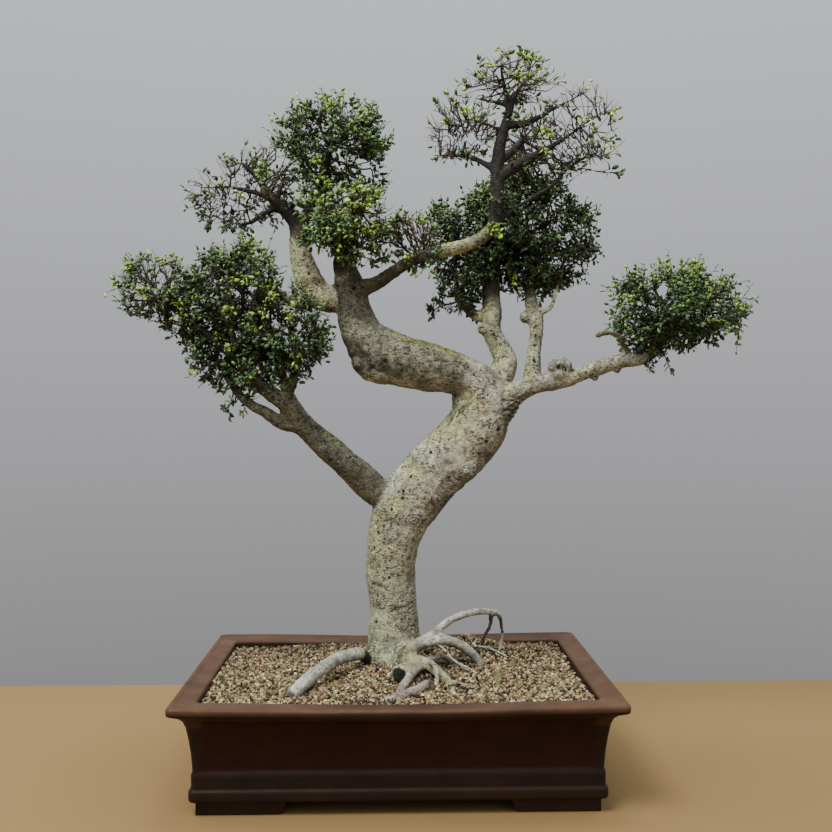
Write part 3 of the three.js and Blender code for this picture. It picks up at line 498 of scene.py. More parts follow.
def smooth_path(points, step):
    """Points [x, y, z, radius] about step apart on the curve through the given ones: on each stretch a
    cubic whose end slopes come from the neighbouring points, spaced by distance."""
    knots = np.asarray(points, float)
    along = distance_along(knots)
    slopes = np.gradient(knots, along, axis=0)
    s = np.linspace(0, along[-1], max(3, round(along[-1] / step) + 1))
    k = np.clip(np.searchsorted(along, s, side="right") - 1, 0, len(along) - 2)
    span = (along[k + 1] - along[k])[:, None]
    t = (s - along[k])[:, None] / span
    return cubic(t, knots[k], span * slopes[k], knots[k + 1], span * slopes[k + 1])


def distance_along(points):
    """How far along a line of points each one lies: only their first three numbers count."""
    return np.append(0, np.cumsum(np.linalg.norm(np.diff(points[:, :3], axis=0), axis=1)))


def frames_along(centres):
    """Unit vectors (ahead, across, up) at each ring of each path: across starts at right angles to the
    path and is carried along it with as little turning as it can."""
    ahead = unit(np.gradient(centres, axis=-2))
    start = np.where(np.abs(ahead[..., 0, 1:2]) < 0.8, [0.0, 1.0, 0.0], [1.0, 0.0, 0.0])
    across = np.empty_like(ahead)
    for k in range(centres.shape[-2]):
        flat = start - np.sum(start * ahead[..., k, :], axis=-1, keepdims=True) * ahead[..., k, :]
        across[..., k, :] = start = unit(flat)
    return ahead, across, np.cross(ahead, across)


def tubes(centres, radii, sides):
    """Closed round tubes, one for each path of centres (tubes, rings, 3): each ring is
    centre + radius (cos a across + sin a up)."""
    count, rings = centres.shape[:2]
    _, across, up = frames_along(centres)
    a = 2 * np.pi * np.arange(sides) / sides
    circle = np.cos(a)[:, None] * across[..., None, :] + np.sin(a)[:, None] * up[..., None, :]
    shell = centres[..., None, :] + radii[..., None, None] * circle
    number = np.arange(count * rings * sides).reshape(count, rings, sides)
    turned = np.roll(number, -1, axis=2)
    walls = [number[:, :-1], turned[:, :-1], turned[:, 1:], number[:, 1:]]
    quads = np.stack(walls, axis=-1).reshape(-1, 4)
    caps = np.concatenate([number[:, 0, ::-1], number[:, -1]])
    return shell.reshape(-1, 3), quads.tolist() + caps.tolist()


def joined(shells):
    """Several pairs of vertices and faces as one."""
    starts = itertools.accumulate((len(vertices) for vertices, _ in shells), initial=0)
    faces = [[start + i for i in face] for start, (_, own) in zip(starts, shells) for face in own]
    return np.concatenate([vertices for vertices, _ in shells]), faces


def placed(name, data, place=(0, 0, 0), turn=(0, 0, 0)):
    """A new object in the scene."""
    thing = bpy.data.objects.new(name, data)
    thing.location = place
    thing.rotation_euler = turn
    bpy.context.scene.collection.objects.link(thing)
    return thing


def piece(name, vertices, faces, material, smooth=True, tone=None, carried=None):
    """A mesh object at the origin, in the frame's metres. tone is a colour for each vertex, with how
    speckled it is as an optional fourth number, kept as the attribute of that name. carried maps the names
    of further attributes to a vector for each vertex."""
    mesh = bpy.data.meshes.new(name)
    mesh.from_pydata(vertices, [], faces)
    mesh.polygons.foreach_set("use_smooth", np.full(len(mesh.polygons), smooth))
    if tone is not None:
        layer = mesh.color_attributes.new("tone", "FLOAT_COLOR", "POINT")
        rgba = np.column_stack([tone, np.ones(len(tone))])[:, :4]
        layer.data.foreach_set("color", rgba.ravel())
    for label, vectors in (carried or {}).items():
        mesh.attributes.new(label, "FLOAT_VECTOR", "POINT").data.foreach_set("vector", vectors.ravel())
    mesh.materials.append(material)
    return placed(name, mesh)


def worked_out(thing):
    """The mesh of a curve, or of an object with modifiers."""
    graph = bpy.context.evaluated_depsgraph_get()
    return bpy.data.meshes.new_from_object(thing.evaluated_get(graph))


def finished(thing):
    """thing with its modifiers worked into its mesh."""
    mesh = worked_out(thing)
    thing.modifiers.clear()
    thing.data = mesh
    return thing


def rows_of(items, name, width, kind=float):
    """One property of a mesh's elements as an array with that many numbers in a row."""
    flat = np.empty(width * len(items), kind)
    items.foreach_get(name, flat)
    return flat.reshape(-1, width)


def settle(thing, material_slot, *nodes):
    """thing rides on the tree's one body and stands for those nodes of the model."""
    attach(thing, "root")
    if nodes:
        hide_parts(*nodes)
    return thing


# The finishes.


class Nodes:
    """Shader nodes that are added one call at a time and placed by object coordinates."""

    def __init__(self, tree):
        self.tree = tree
        self.where = self.node("TexCoord").outputs["Object"]

    def put(self, socket, value):
        """Sets a socket to a value, or joins it to an output."""
        if isinstance(value, bpy.types.NodeSocket):
            self.tree.links.new(value, socket)
        else:
            socket.default_value = (*value, 1) if socket.type == "RGBA" else value

    def node(self, kind, values=None, **settings):
        """A new node of that kind with its settings, and its sockets' values by name or number."""
        node = self.tree.nodes.new("ShaderNode" + kind)
        for name, setting in settings.items():
            setattr(node, name, setting)
        for socket, value in (values or {}).items():
            self.put(node.inputs[socket], value)
        return node

    def stretched(self, x, y, z):
        """Object coordinates scaled along each axis."""
        return self.node("Mapping", {"Scale": (x, y, z), "Vector": self.where}).outputs["Vector"]

    def noise(self, size, detail=4, rough=0.6, where=None):
        """Fractal noise from 0 to 1 whose largest features are size millimetres."""
        values = {"Vector": where or self.where, "Scale": 1 / (size * MM)}
        values |= {"Detail": detail, "Roughness": rough}
        return self.node("TexNoise", values).outputs["Fac"]

    def cells(self, size, where=None):
        """Distance to the nearest of points scattered size millimetres apart."""
        values = {"Vector": where or self.where, "Scale": 1 / (size * MM)}
        return self.node("TexVoronoi", values).outputs["Distance"]

    def ramp(self, value, *stops):
        """value mapped through grey or colour stops (place, shade)."""
        node = self.node("ValToRGB", {"Fac": value})
        for n, (place, shade) in enumerate(stops):
            if n > 1:
                node.color_ramp.elements.new(place)
            stop = node.color_ramp.elements[n]
            stop.position = place
            stop.color = (*shade, 1) if isinstance(shade, tuple) else (shade, shade, shade, 1)
        return node.outputs["Color"]

    def between(self, value, low, high):
        """0 where value is below low, 1 where it is above high, and even steps between."""
        return self.ramp(value, (low, 0.0), (high, 1.0))

    def blend(self, share, first, second, how="MIX"):
        """first blended with second by share."""
        values = {"Factor": share, 6: first, 7: second}
        return self.node("Mix", values, data_type="RGBA", blend_type=how).outputs[2]

    def times(self, first, second):
        """One colour multiplied by another."""
        return self.blend(1.0, first, second, "MULTIPLY")

    def bump(self, height, depth, under=None):
        """A bump of that depth in millimetres, over an earlier one."""
        earlier = {"Normal": under} if under else {}
        return self.node("Bump", {"Distance": depth * MM, "Height": height, **earlier}).outputs["Normal"]


class Finish(Nodes):
    """A material under construction."""

    def __init__(self, name, roughness, gloss=0.5):
        self.material = bpy.data.materials.new(name)
        self.material.use_nodes = True
        super().__init__(self.material.node_tree)
        self.shader = self.tree.nodes["Principled BSDF"]
        self.put(self.shader.inputs["Roughness"], roughness)
        self.put(self.shader.inputs["Specular IOR Level"], gloss)

    def tone(self, part="Color"):
        """The colour that the piece carries on its vertices, or as Alpha how speckled it is."""
        return self.node("VertexColor", layer_name="tone").outputs[part]

    def away(self, name, wobble):
        """Length of the vector that the piece carries under that name, made uneven by wobble (0 to 1)."""
        vector = self.node("Attribute", attribute_name=name).outputs["Vector"]
        length = self.node("VectorMath", {0: vector}, operation="LENGTH").outputs["Value"]
        values = {0: self.noise(7, 3), 1: 2 * wobble, 2: 1 - wobble}
        share = self.node("Math", values, operation="MULTIPLY_ADD").outputs["Value"]
        return self.node("Math", {0: length, 1: share}, operation="MULTIPLY").outputs["Value"]

    def done(self, colour, normal=None, roughness=None):
        """Joins colour, normal and roughness to the shader and returns the material."""
        for name, value in (("Base Color", colour), ("Normal", normal), ("Roughness", roughness)):
            if value:
                self.put(self.shader.inputs[name], value)
        return self.material


def bark_finish():
    """Bark: the vertex tone, mottled in patches and broken by dark dots and dashes that lie across the limb,
    dense in some places and sparse in others, with fine pale flecks between them. Rings of callus are drawn
    round each healed cut, their grooves darkened as painted shade, and pits are near-black holes of painted
    shadow."""
    f = Finish("bark", 0.82)
    patches = f.between(f.noise(26, 6, 0.62), 0.38, 0.62)
    grain = f.noise(4.2, 5, 0.66, f.stretched(0.9, 0.9, 1.6))
    crowded = f.between(f.noise(30, 4, 0.6), 0.34, 0.55)
    few = f.between(grain, 0.33, 0.4)
    dashes = f.between(f.cells(5.4, f.stretched(0.8, 0.8, 1.7)), 0.15, 0.3)
    dashes = f.blend(f.between(f.noise(11, 3, 0.5), 0.42, 0.54), dashes, (1.0, 1.0, 1.0))
    many = f.times(f.between(grain, 0.39, 0.48), dashes)
    specks = f.blend(crowded, few, many)
    crumbs = f.between(f.noise(1.7, 3, 0.6), 0.36, 0.5)
    flecks = f.between(f.noise(2.4, 3, 0.6), 0.55, 0.67)
    plain = f.blend(patches, f.tone(), f.times(f.tone(), (1.25, 1.24, 1.2)))
    colour = f.blend(specks, f.times(plain, (0.14, 0.125, 0.09)), plain)
    colour = f.blend(crumbs, f.times(colour, (0.48, 0.45, 0.39)), colour)
    colour = f.blend(flecks, colour, f.times(colour, (1.95, 1.95, 1.85)))
    colour = f.blend(f.tone("Alpha"), plain, colour)
    rings = f.ramp(
        f.away("healed", 0.5), (0.0, 0.0), (0.12, 0.1), (0.2, 1.0), (0.34, 1.0), (0.4, 0.1), (0.5, 0.1),
        (0.57, 1.0), (0.74, 1.0), (0.8, 0.15), (0.9, 0.2), (0.98, 1.0),
    )
    broken = f.ramp(f.noise(6, 3), (0.4, 0.15), (0.56, 1.0))
    # the grooves between the rings darkened: painted shade
    groove_shade = f.blend(rings, f.times(plain, (0.13, 0.11, 0.08)), colour)
    colour = f.blend(broken, colour, groove_shade)
    # pits: sunk by a bump and filled with near-black painted shadow
    holes = f.between(f.away("pitted", 0.3), 0.36, 0.6)
    colour = f.blend(holes, (0.012, 0.010, 0.007), colour)
    normal = None
    for height, depth in ((specks, 0.55), (f.noise(9, 7, 0.65), 1.1), (rings, 1.0), (holes, 1.6)):
        normal = f.bump(height, depth, normal)
    return f.done(colour, normal, f.ramp(specks, (0.0, 0.92), (1.0, 0.76)))


def twig_finish():
    """Twigs: reddish brown, paler along the older ones."""
    f = Finish("twig_bark", 0.75)
    streaks = f.noise(5, 5, 0.6)
    colour = f.blend(streaks, f.tone(), f.times(f.tone(), (0.55, 0.5, 0.45)))
    return f.done(colour, f.bump(f.noise(2.5, 4), 0.4))


def leaf_finish():
    """Leaves: the vertex tone with a faint blotch and a low gloss."""
    f = Finish("elm_leaf", 0.46, 0.36)
    blotch = f.ramp(f.noise(6, 3, 0.5), (0.35, 0.8), (0.65, 1.15))
    return f.done(f.times(f.tone(), blotch), f.bump(f.noise(1.2, 3), 0.12))


def grain_finish():
    """Soil grains: each grain's own tone, dusty and pitted."""
    f = Finish("soil_grain", 0.92)
    dust = f.ramp(f.noise(1.6, 4, 0.7), (0.3, 0.7), (0.7, 1.2))
    return f.done(f.times(f.tone(), dust), f.bump(f.noise(1.1, 4, 0.7), 0.35))


def soil_finish():
    """The bed between the grains: dark damp grit, painted darker still as the shade in the gaps between the
    grains.
    """
    f = Finish("soil_bed", 0.95)
    colour = f.ramp(f.noise(4, 6, 0.75), (0.35, (0.012, 0.009, 0.006)), (0.65, (0.07, 0.05, 0.032)))
    return f.done(colour, f.bump(f.noise(3, 6, 0.75), 1.5))


def stoneware_finish():
    """Unglazed stoneware: the vertex tone (brown body, maroon panels), clouded, speckled and worn."""
    f = Finish("stoneware", 0.5, 0.22)
    clouds = f.ramp(f.noise(60, 5, 0.6), (0.3, 0.72), (0.7, 1.25))
    streaks = f.ramp(f.noise(16, 5, 0.65, f.stretched(0.5, 0.5, 2.4)), (0.3, 0.85), (0.7, 1.15))
    specks = f.ramp(f.noise(1.6, 2, 0.6), (0.29, 0.45), (0.36, 1.0))
    colour = f.times(f.times(f.times(f.tone(), clouds), streaks), specks)
    normal = f.bump(f.noise(40, 3), 0.5, f.bump(f.noise(1.4, 4, 0.6), 0.16))
    return f.done(colour, normal, f.ramp(f.noise(22, 5), (0.3, 0.46), (0.7, 0.7)))


def screen_finish():
    """Drain screen: dark plastic mesh with a fine moulded grain."""
    f = Finish("drain_screen", 0.6)
    colour = f.ramp(f.noise(6, 3), (0.3, (0.01, 0.012, 0.01)), (0.7, (0.03, 0.034, 0.03)))
    return f.done(colour, f.bump(f.noise(0.8, 2), 0.1))


# The pot.


def side_stations(reach):
    """Places along one straight side: close together over its last PANEL_ZONE millimetres, and closest at
    the panel's edge."""
    start = reach - PANEL_ZONE
    near = np.sort(np.append(np.arange(start, reach + 0.1, 6.0), start + np.array([12.2, 13.7, 14.2])))
    middle = np.linspace(-start, start, round(reach / 5))[1:-1]
    return np.concatenate([-near[::-1], middle, near])


def pot_rings(insets):
    """Points round a rounded rectangle for every pair of insets (at the ends, along the front and back):
    straight sides, joined by quarter circles. Returns the places as (insets, stations, 2) and the outward
    direction at each station."""
    half = POT_HALF - CORNER_RADIUS
    quarter = np.radians(np.linspace(0, 90, 8))[1:-1]
    places, outwards = [], []
    for turn in range(4):
        along, out = (0, 1) if turn % 2 else (1, 0)
        sign = 1 if turn in (0, 1) else -1
        run = (1 if turn in (0, 3) else -1) * side_stations(half[along])
        base = np.zeros((len(run), 2))
        base[:, along] = run
        base[:, out] = sign * half[out]
        facing = np.zeros_like(base)
        facing[:, out] = sign
        places.append(base)
        outwards.append(facing)
        angle = quarter + math.pi / 2 * turn
        facing = np.column_stack([np.cos(angle), np.sin(angle)])
        corner = np.sign(np.array([math.cos(angle[2]), math.sin(angle[2])])) * half
        places.append(np.tile(corner, (len(angle), 1)))
        outwards.append(facing)
    base, facing = np.concatenate(places), np.concatenate(outwards)
    return base * (1 - insets[:, None] / half) + CORNER_RADIUS * facing, facing


def pot_walls(material):
    """The pot's sides and rim: the profile carried round a rounded rectangle. The sides are sunk by
    PANEL_SUNK inside a window with soft edges, and the long sides sag a little in the middle."""
    profile = np.array([(inset, inset, z) for inset, z in POT_OUTSIDE] + POT_INSIDE)
    steps = distance_along(profile[:, 1:])
    fine = np.concatenate([
        np.linspace(low, high, max(1, min(8, round((high - low) / WALL_STEP))), False)
        for low, high in zip(steps[:-1], steps[1:])
    ])
    at_ends, inset, z = (np.interp(fine, steps, column) for column in profile.T)
    ring, facing = pot_rings(np.column_stack([at_ends, inset]))
    x, y = ring[..., 0], ring[..., 1]
    z = np.repeat(z[:, None], x.shape[1], axis=1)
    outside = (inset < 30)[:, None] & (z < 118)
    on_long = np.abs(facing[:, 1]) > 0.99
    on_short = np.abs(facing[:, 0]) > 0.99
    edge = np.where(on_long, PANEL_REACH[0] - np.abs(x), PANEL_REACH[1] - np.abs(y))
    window = smoothstep(-1, 1, edge) * smoothstep(-1, 1, z - PANEL_BOTTOM) * smoothstep(-1, 1, PANEL_TOP - z)
    window = window * (outside & (on_long | on_short))
    x = x - facing[:, 0] * PANEL_SUNK * window
    y = y - facing[:, 1] * PANEL_SUNK * window
    z = z - RIM_SAG * smoothstep(90, 122, z) * np.cos(np.pi * np.clip(x / POT_LENGTH, -0.5, 0.5)) ** 2
    spot = np.stack([x, y, z], axis=-1).reshape(-1, 3)
    uneven = 0.4 * cloud(spot, 45, 3) + 0.15 * cloud(spot, 9, 4)
    spot[:, 2] += uneven * smoothstep(60, 120, spot[:, 2])
    number = np.arange(x.size).reshape(x.shape)
    down, right = np.roll(number, -1, axis=0), np.roll(number, -1, axis=1)
    quads = np.stack([number, right, np.roll(right, -1, axis=0), down], axis=-1).reshape(-1, 4)
    tone = wall_tone(z.reshape(-1, 1), window.reshape(-1, 1))
    return piece("pot_walls", at_pot(spot), quads.tolist(), material, tone=tone)


def wall_tone(height, window):
    """Colour of the pot's walls: a brown rim, dark sides that are worn along the foot's band, darker above
    it and lighter under the lip, where painted light lifts the lip's shadow, and maroon panels. The sides
    and panels are darker than the clay as painted shade."""
    body = DARK_CLAY_IN_SHADE + (RIM_BROWN - DARK_CLAY_IN_SHADE) * smoothstep(120.5, 126, height)
    body = body + (WORN_CLAY - DARK_CLAY_IN_SHADE) * smoothstep(31.5, 29.5, height) * smoothstep(15, 17, height)
    body = body * (1 - 0.15 * smoothstep(32, 34, height) * smoothstep(50, 46, height))
    # painted light under the lip, against the lip's shadow
    body = body * (1 + 1.3 * smoothstep(98, 106, height) * smoothstep(119, 115, height))
    return body + (MAROON_IN_SHADE - body) * window


def pot_floor(material):
    """The pot's floor: a slab let into the walls, with two round drain holes."""
    angle = np.radians(np.arange(0, 360, 9))
    circle = DRAIN_RADIUS * np.column_stack([np.cos(angle), np.sin(angle)])
    half = POT_HALF - FLOOR_INSET
    outline = np.array([[-1, -1], [1, -1], [1, 1], [-1, 1]]) * half
    low, high = FOOT_HEIGHT + 0.2, FLOOR_TOP
    curve = bpy.data.curves.new("pot_floor", "CURVE")
    curve.dimensions = "2D"
    curve.fill_mode = "BOTH"
    curve.extrude = (high - low) / 2 * MM
    for loop in (outline, *(circle + [side * DRAIN_SPACING / 2, 0] for side in (-1, 1))):
        spline = curve.splines.new("POLY")
        spline.points.add(len(loop) - 1)
        row = np.column_stack([loop * MM, np.zeros(len(loop)), np.ones(len(loop))])
        spline.points.foreach_set("co", row.ravel())
        spline.use_cyclic_u = True
    source = placed("pot_floor", curve)
    mesh = worked_out(source)
    bpy.data.objects.remove(source)
    spots = rows_of(mesh.vertices, "co", 3) / MM + [0, 0, (low + high) / 2]
    faces = [list(p.vertices) for p in mesh.polygons]
    slab = piece("pot_floor", at_pot(spots), faces, material, False, np.tile(FLOOR_CLAY, (len(spots), 1)))
    merge = slab.modifiers.new("closed", "WELD")
    merge.merge_threshold = 0.01 * MM
    return finished(slab)


def pot_feet(material):
    """Four L-shaped corner feet: an L outline at the ground and a longer one where the foot meets the pot,
    so that its free ends slope, with its edges rounded."""
    reach = POT_HALF - FOOT_INSET
    vertices, faces = [], []
    for sx, sy in ((-1, -1), (1, -1), (1, 1), (-1, 1)):
        start = len(vertices)
        for up, slope in ((0, 9), (FOOT_HEIGHT + 3, 0)):
            ends = (FOOT_LENGTH - slope, FOOT_DEPTH - slope)
            outline = np.array([
                [0, 0], [ends[0], 0], [ends[0], FOOT_BAND], [FOOT_BAND, FOOT_BAND], [FOOT_BAND, ends[1]],
                [0, ends[1]],
            ])
            vertices += [[*spot, up] for spot in (reach - outline) * [sx, sy]]
        shell = [(0, 1, 2, 3), (0, 3, 4, 5), (9, 8, 7, 6), (11, 10, 9, 6)]
        shell += [((k + 1) % 6, k, k + 6, (k + 1) % 6 + 6) for k in range(6)]
        faces += [tuple(start + i for i in (f[::-1] if sx * sy > 0 else f)) for f in shell]
    tone = np.tile(FOOT_CLAY, (len(vertices), 1))
    feet = piece("pot_feet", at_pot(vertices), faces, material, tone=tone)
    bevel = feet.modifiers.new("worn", "BEVEL")
    bevel.width = 1.6 * MM
    bevel.segments = 3
    return finished(feet)


# The soil.


def soil_height(x, y):
    """Height of the soil: level, with a low round heap at the trunk, a higher one behind the arched root and
    a slow swell."""
    at_trunk = 7 * np.exp(-(x**2 + (y - 40) ** 2) / (2 * 72**2))
    behind_root = 24 * np.exp(-((x - 100) ** 2 + (y - 92) ** 2) / (2 * 34**2))
    return SOIL_LEVEL + at_trunk + behind_root + 2 * np.sin(x / 47) * np.cos(y / 39)


def soil_bed(material):
    """The bed that the grains lie in: a height for each point of a grid, its edge carried down and inwards
    to a flat bottom."""
    half = POT_HALF - [RIM_SIDE + 1.2, RIM_WIDTH + 1.2]
    xs, ys = (np.linspace(-h, h, round(2 * h / 5)) for h in half)
    xs, ys = (np.concatenate([[s[0]], s, [s[-1]]]) for s in (xs, ys))
    x, y = np.meshgrid(xs, ys, indexing="ij")
    rough = cloud(np.column_stack([x.ravel(), y.ravel(), 0 * x.ravel()]), 9).reshape(x.shape)
    z = soil_height(x, y) - 3.4 + 0.8 * rough
    edge = np.zeros(x.shape, bool)
    edge[[0, -1]] = True
    edge[:, [0, -1]] = True
    x, y, z = np.where(edge, 0.95 * x, x), np.where(edge, 0.98 * y, y), np.where(edge, SOIL_LOW, z)
    number = np.arange(x.size).reshape(x.shape)
    quads = np.stack([number[:-1, :-1], number[1:, :-1], number[1:, 1:], number[:-1, 1:]], axis=-1)
    rim = [*number[:, 0], *number[-1, 1:], *number[-2::-1, -1], *number[0, -2:0:-1]]
    spot = np.column_stack([x.ravel(), y.ravel(), z.ravel()])
    faces = quads.reshape(-1, 4).tolist() + [[int(i) for i in rim[::-1]]]
    return piece("soil_bed", at_pot(spot), faces, material)


def wood_samples():
    """Points [x, y, z, radius, kind, distance along] on the middle lines of the trunk, branches and roots.
    kind is the limb's number in LIMBS."""
    rows = []
    for kind, points in enumerate(LIMBS.values()):
        path = smooth_path(points, 4)
        rows.append(np.column_stack([path, np.full(len(path), kind), distance_along(path)]))
    return np.concatenate(rows)


def nearest_wood(points, samples):
    """For each point, the sample whose surface is nearest, and how far outside that surface the point is."""
    best, gap = [], []
    at_once = 8000
    for part in np.array_split(points, max(1, len(points) // at_once)):
        square = (part**2).sum(1)[:, None] + (samples[:, :3] ** 2).sum(1) - 2 * part @ samples[:, :3].T
        away = np.sqrt(np.maximum(square, 0)) - samples[:, 3]
        best.append(away.argmin(axis=1))
        gap.append(away.min(axis=1))
    return np.concatenate(best), np.concatenate(gap)


def soil_grains(samples, material):
    """Crushed grit: blocks of eight corners, each corner pushed in or out, on a jittered grid, turned at
    random, sunk by up to half a grain into the bed and left out where wood stands. They are darker towards
    the back, and painted shade darkens them against the wood and in the hollows under the arched root and
    the front roots."""
    rng = np.random.default_rng(4)
    half = POT_HALF - [RIM_SIDE, RIM_WIDTH] - GRAIN_SIZE * 0.45
    pitch = np.sqrt(4 * half[0] * half[1] / GRAINS)
    x, y = (np.arange(-h, h, pitch) for h in half)
    x, y = (a.ravel() for a in np.meshgrid(x, y))
    x, y = (np.clip(a + rng.uniform(-0.55, 0.55, a.size) * pitch, -h, h) for a, h in zip((x, y), half))
    size = GRAIN_SIZE / 2 * rng.uniform(0.6, 1.15, x.size)
    z = soil_height(x, y) + rng.uniform(-3.2, 0.6, x.size)
    spot = np.column_stack([x, y, z])
    _, gap = nearest_wood(spot, samples)
    keep = np.flatnonzero(gap > -0.5)
    spot, size, gap = spot[keep], size[keep], gap[keep]
    block = 0.66 * np.array(list(itertools.product((-1, 1), repeat=3)))
    sides = np.array([
        [0, 1, 3], [0, 3, 2], [4, 6, 7], [4, 7, 5], [0, 4, 5], [0, 5, 1], [2, 3, 7], [2, 7, 6],
        [0, 2, 6], [0, 6, 4], [1, 5, 7], [1, 7, 3],
    ])
    count = len(spot)
    push = rng.uniform(0.72, 1.2, (count, 8, 1)) + rng.uniform(-0.12, 0.12, (count, 8, 3))
    lumps = block * push * rng.uniform([0.95, 0.8, 0.62], [1.2, 1.05, 0.95], (count, 1, 3))
    turn, _ = np.linalg.qr(rng.normal(size=(count, 3, 3)))
    turn[:, :, 0] *= np.linalg.det(turn)[:, None]
    shape = np.einsum("nij,nvj->nvi", turn, lumps * size[:, None, None]) + spot[:, None]
    faces = (sides[None] + 8 * np.arange(count)[:, None, None]).reshape(-1, 3)
    shade = rng.choice(len(GRAIN_SHADES), count, p=GRAIN_SHARES)
    tone = GRAIN_SHADES[shade] * rng.uniform(0.7, 1.2, (count, 1))
    tone *= (0.95 - 0.33 * smoothstep(20, 120, spot[:, 1]))[:, None]
    # painted shade in the hollow under the arched root and under the front roots
    shadow_under_roots = np.exp(-(((spot[:, 0] - 55) / 26) ** 2) - ((spot[:, 1] - 8) / 30) ** 2)
    shadow_under_roots += 0.8 * np.exp(-(((spot[:, 0] - 36) / 12) ** 2) - ((spot[:, 1] + 62) / 12) ** 2)
    # painted shade where the grains lie against the wood, and under the roots
    tone *= ((1 - 0.45 * np.exp(-np.maximum(gap, 0) / 6)) * (1 - 0.65 * shadow_under_roots))[:, None]
    tone = np.repeat(tone, 8, axis=0)
    return piece("soil_grains", at_pot(shape.reshape(-1, 3)), faces.tolist(), material, False, tone)


# The wood.

LIMBS = {"trunk": TRUNK, **BRANCHES, **ROOTS}
# The second-last bark colour serves both as painted shade (sides turned from the light, under the bend, the
# roots and the leaves, the long root's neck, pits, cracks and folds) and as the colour of darker bark
# (blots, the arch's hook).
PALE, ALGAE, PEELING, DARK_BARK_IN_LEAF_SHADE, ROOT, MOSSY, ROSY, GREY, MOSS, LICHEN, SHADE_AND_DARK_BARK, RUST = np.array([
    [0.34, 0.335, 0.245], [0.33, 0.345, 0.17], [0.295, 0.28, 0.165], [0.015, 0.011, 0.0075],
    [0.41, 0.405, 0.34], [0.29, 0.295, 0.15], [0.33, 0.275, 0.24], [0.145, 0.143, 0.096],
    [0.16, 0.165, 0.025], [0.46, 0.465, 0.395], [0.040, 0.034, 0.023], [0.30, 0.20, 0.06],
])
# Every limb not named below keeps the near-black fourth colour: the bark of the thin limbs inside the
# foliage, darkened as painted shade of the leaves.
BARK_OF = {
    **dict.fromkeys(LIMBS, DARK_BARK_IN_LEAF_SHADE),
    **dict.fromkeys(["trunk", "upright", "upright_arm", "second_upright", "second_twig"], PALE),
    **dict.fromkeys(["left", "left_low", "left_rear", "left_right", "right_limb", "right", "snag"], GREY),
    **dict.fromkeys(["upper_left", "upper_left_stub"], PEELING),
    **dict.fromkeys(ROOTS, ROOT),
    **dict.fromkeys(["saddle", "cut_end"], MOSSY),
    **dict.fromkeys(["front_upper", "front_lower", "root_small"], ROSY),
}


def limb_tube(points, step, sides):
    """A round tube along the smooth path through points [x, y, z, radius]."""
    path = smooth_path(points, step)
    return tubes(path[None, :, :3], path[None, :, 3], sides)


def knot_ball(x, y, z, rx, ry, rz):
    """A squashed ball: rings from its bottom to its top."""
    t = np.linspace(0.02, np.pi - 0.02, 12)
    line = np.column_stack([x + 0 * t, y + 0 * t, z - rz * np.cos(t)])
    spots, polygons = tubes(line[None], (np.sin(t))[None], 16)
    return (spots - [x, y, 0]) * [rx, ry, 1] + [x, y, 0], polygons


def rough_wood():
    """All limbs and knots melted into one skin of small squares."""
    shells = [limb_tube(points, LIMB_STEP, LIMB_SIDES) for points in LIMBS.values()]
    vertices, faces = joined(shells + [knot_ball(*knot) for knot in KNOTS])
    skin = piece("tree_wood", at_pot(vertices), faces, None)
    melt = skin.modifiers.new("melt", "REMESH")
    melt.mode = "VOXEL"
    melt.voxel_size = WOOD_VOXEL * MM
    return finished(skin)


def evened(values, edges, rounds, shares=(0.5,)):
    """Each vertex's numbers moved by a share of the way to the mean of its neighbours', over and over."""
    both = np.concatenate([edges, edges[:, ::-1]])
    degree = np.bincount(both[:, 0], minlength=len(values))[:, None]
    for share in shares * rounds:
        mean = np.column_stack([
            np.bincount(both[:, 0], weights=column[both[:, 1]], minlength=len(values)) for column in values.T
        ])
        values = values + share * (mean / degree - values)
    return values


def front_marks(spots, out):
    """How near each point is to the marks on the front of the bark: (swellings, pits and cracks, each 0 to
    1, and folds, -1 to 1, that lie as arcs under the right-hand limb)."""
    flat = spots[:, [0, 2]]
    front = smoothstep(0.1, -0.35, out[:, 1])
    swellings, hollows, cracks = (np.zeros(len(spots)) for _ in range(3))
    for x, z, size in SCARS:
        away = np.linalg.norm((flat - [x, z]) * [1, 1.2], axis=1) * (1 + 0.3 * cloud(spots, 1.2 * size, 21))
        swellings = np.maximum(swellings, np.exp(-((away / size) ** 2)))
    for x, z, size in PITS:
        away = np.linalg.norm((flat - [x, z]) * [1, 0.75], axis=1)
        hollows = np.maximum(hollows, np.exp(-((away / (0.62 * size)) ** 2)))
    for line in CRACKS:
        for first, last in zip(line[:-1], line[1:]):
            first, run = np.array(first, float), np.subtract(last, first)
            share = np.clip((flat - first) @ run / (run @ run), 0, 1)[:, None]
            away = np.linalg.norm(flat - first - share * run, axis=1) + 1.4 * cloud(spots, 6, 22)
            cracks = np.maximum(cracks, np.exp(-((away / 1.5) ** 2)))
    cracks *= smoothstep(-0.5, 0.4, cloud(spots, 9, 25))
    arc = np.linalg.norm(flat - [138, 430], axis=1) + 2.2 * cloud(spots, 13, 9)
    crease = np.exp(-((np.linalg.norm((flat - [150, 462]) * [1, 0.8], axis=1) / 19) ** 2))
    folds = crease * np.sin(2 * np.pi * arc / 6.2)
    return swellings * front, hollows * front, cracks * front, folds


def mark_offsets(spots, out, rows, tall):
    """The vector from the nearest of those marks [x, z, radius] to each point, in radii of that mark: along
    x, along z divided by tall, and how far the bark there is turned from the front."""
    rows = np.array(rows, float)
    offset = (spots[:, None, [0, 2]] - rows[:, :2]) / (rows[:, 2:] * [1, tall])
    near = np.argmin(np.linalg.norm(offset, axis=2), axis=1)
    offset = np.clip(offset[np.arange(len(spots)), near], -UNMARKED, UNMARKED)
    return np.column_stack([offset, 2.5 * smoothstep(-0.3, 0.15, out[:, 1])])


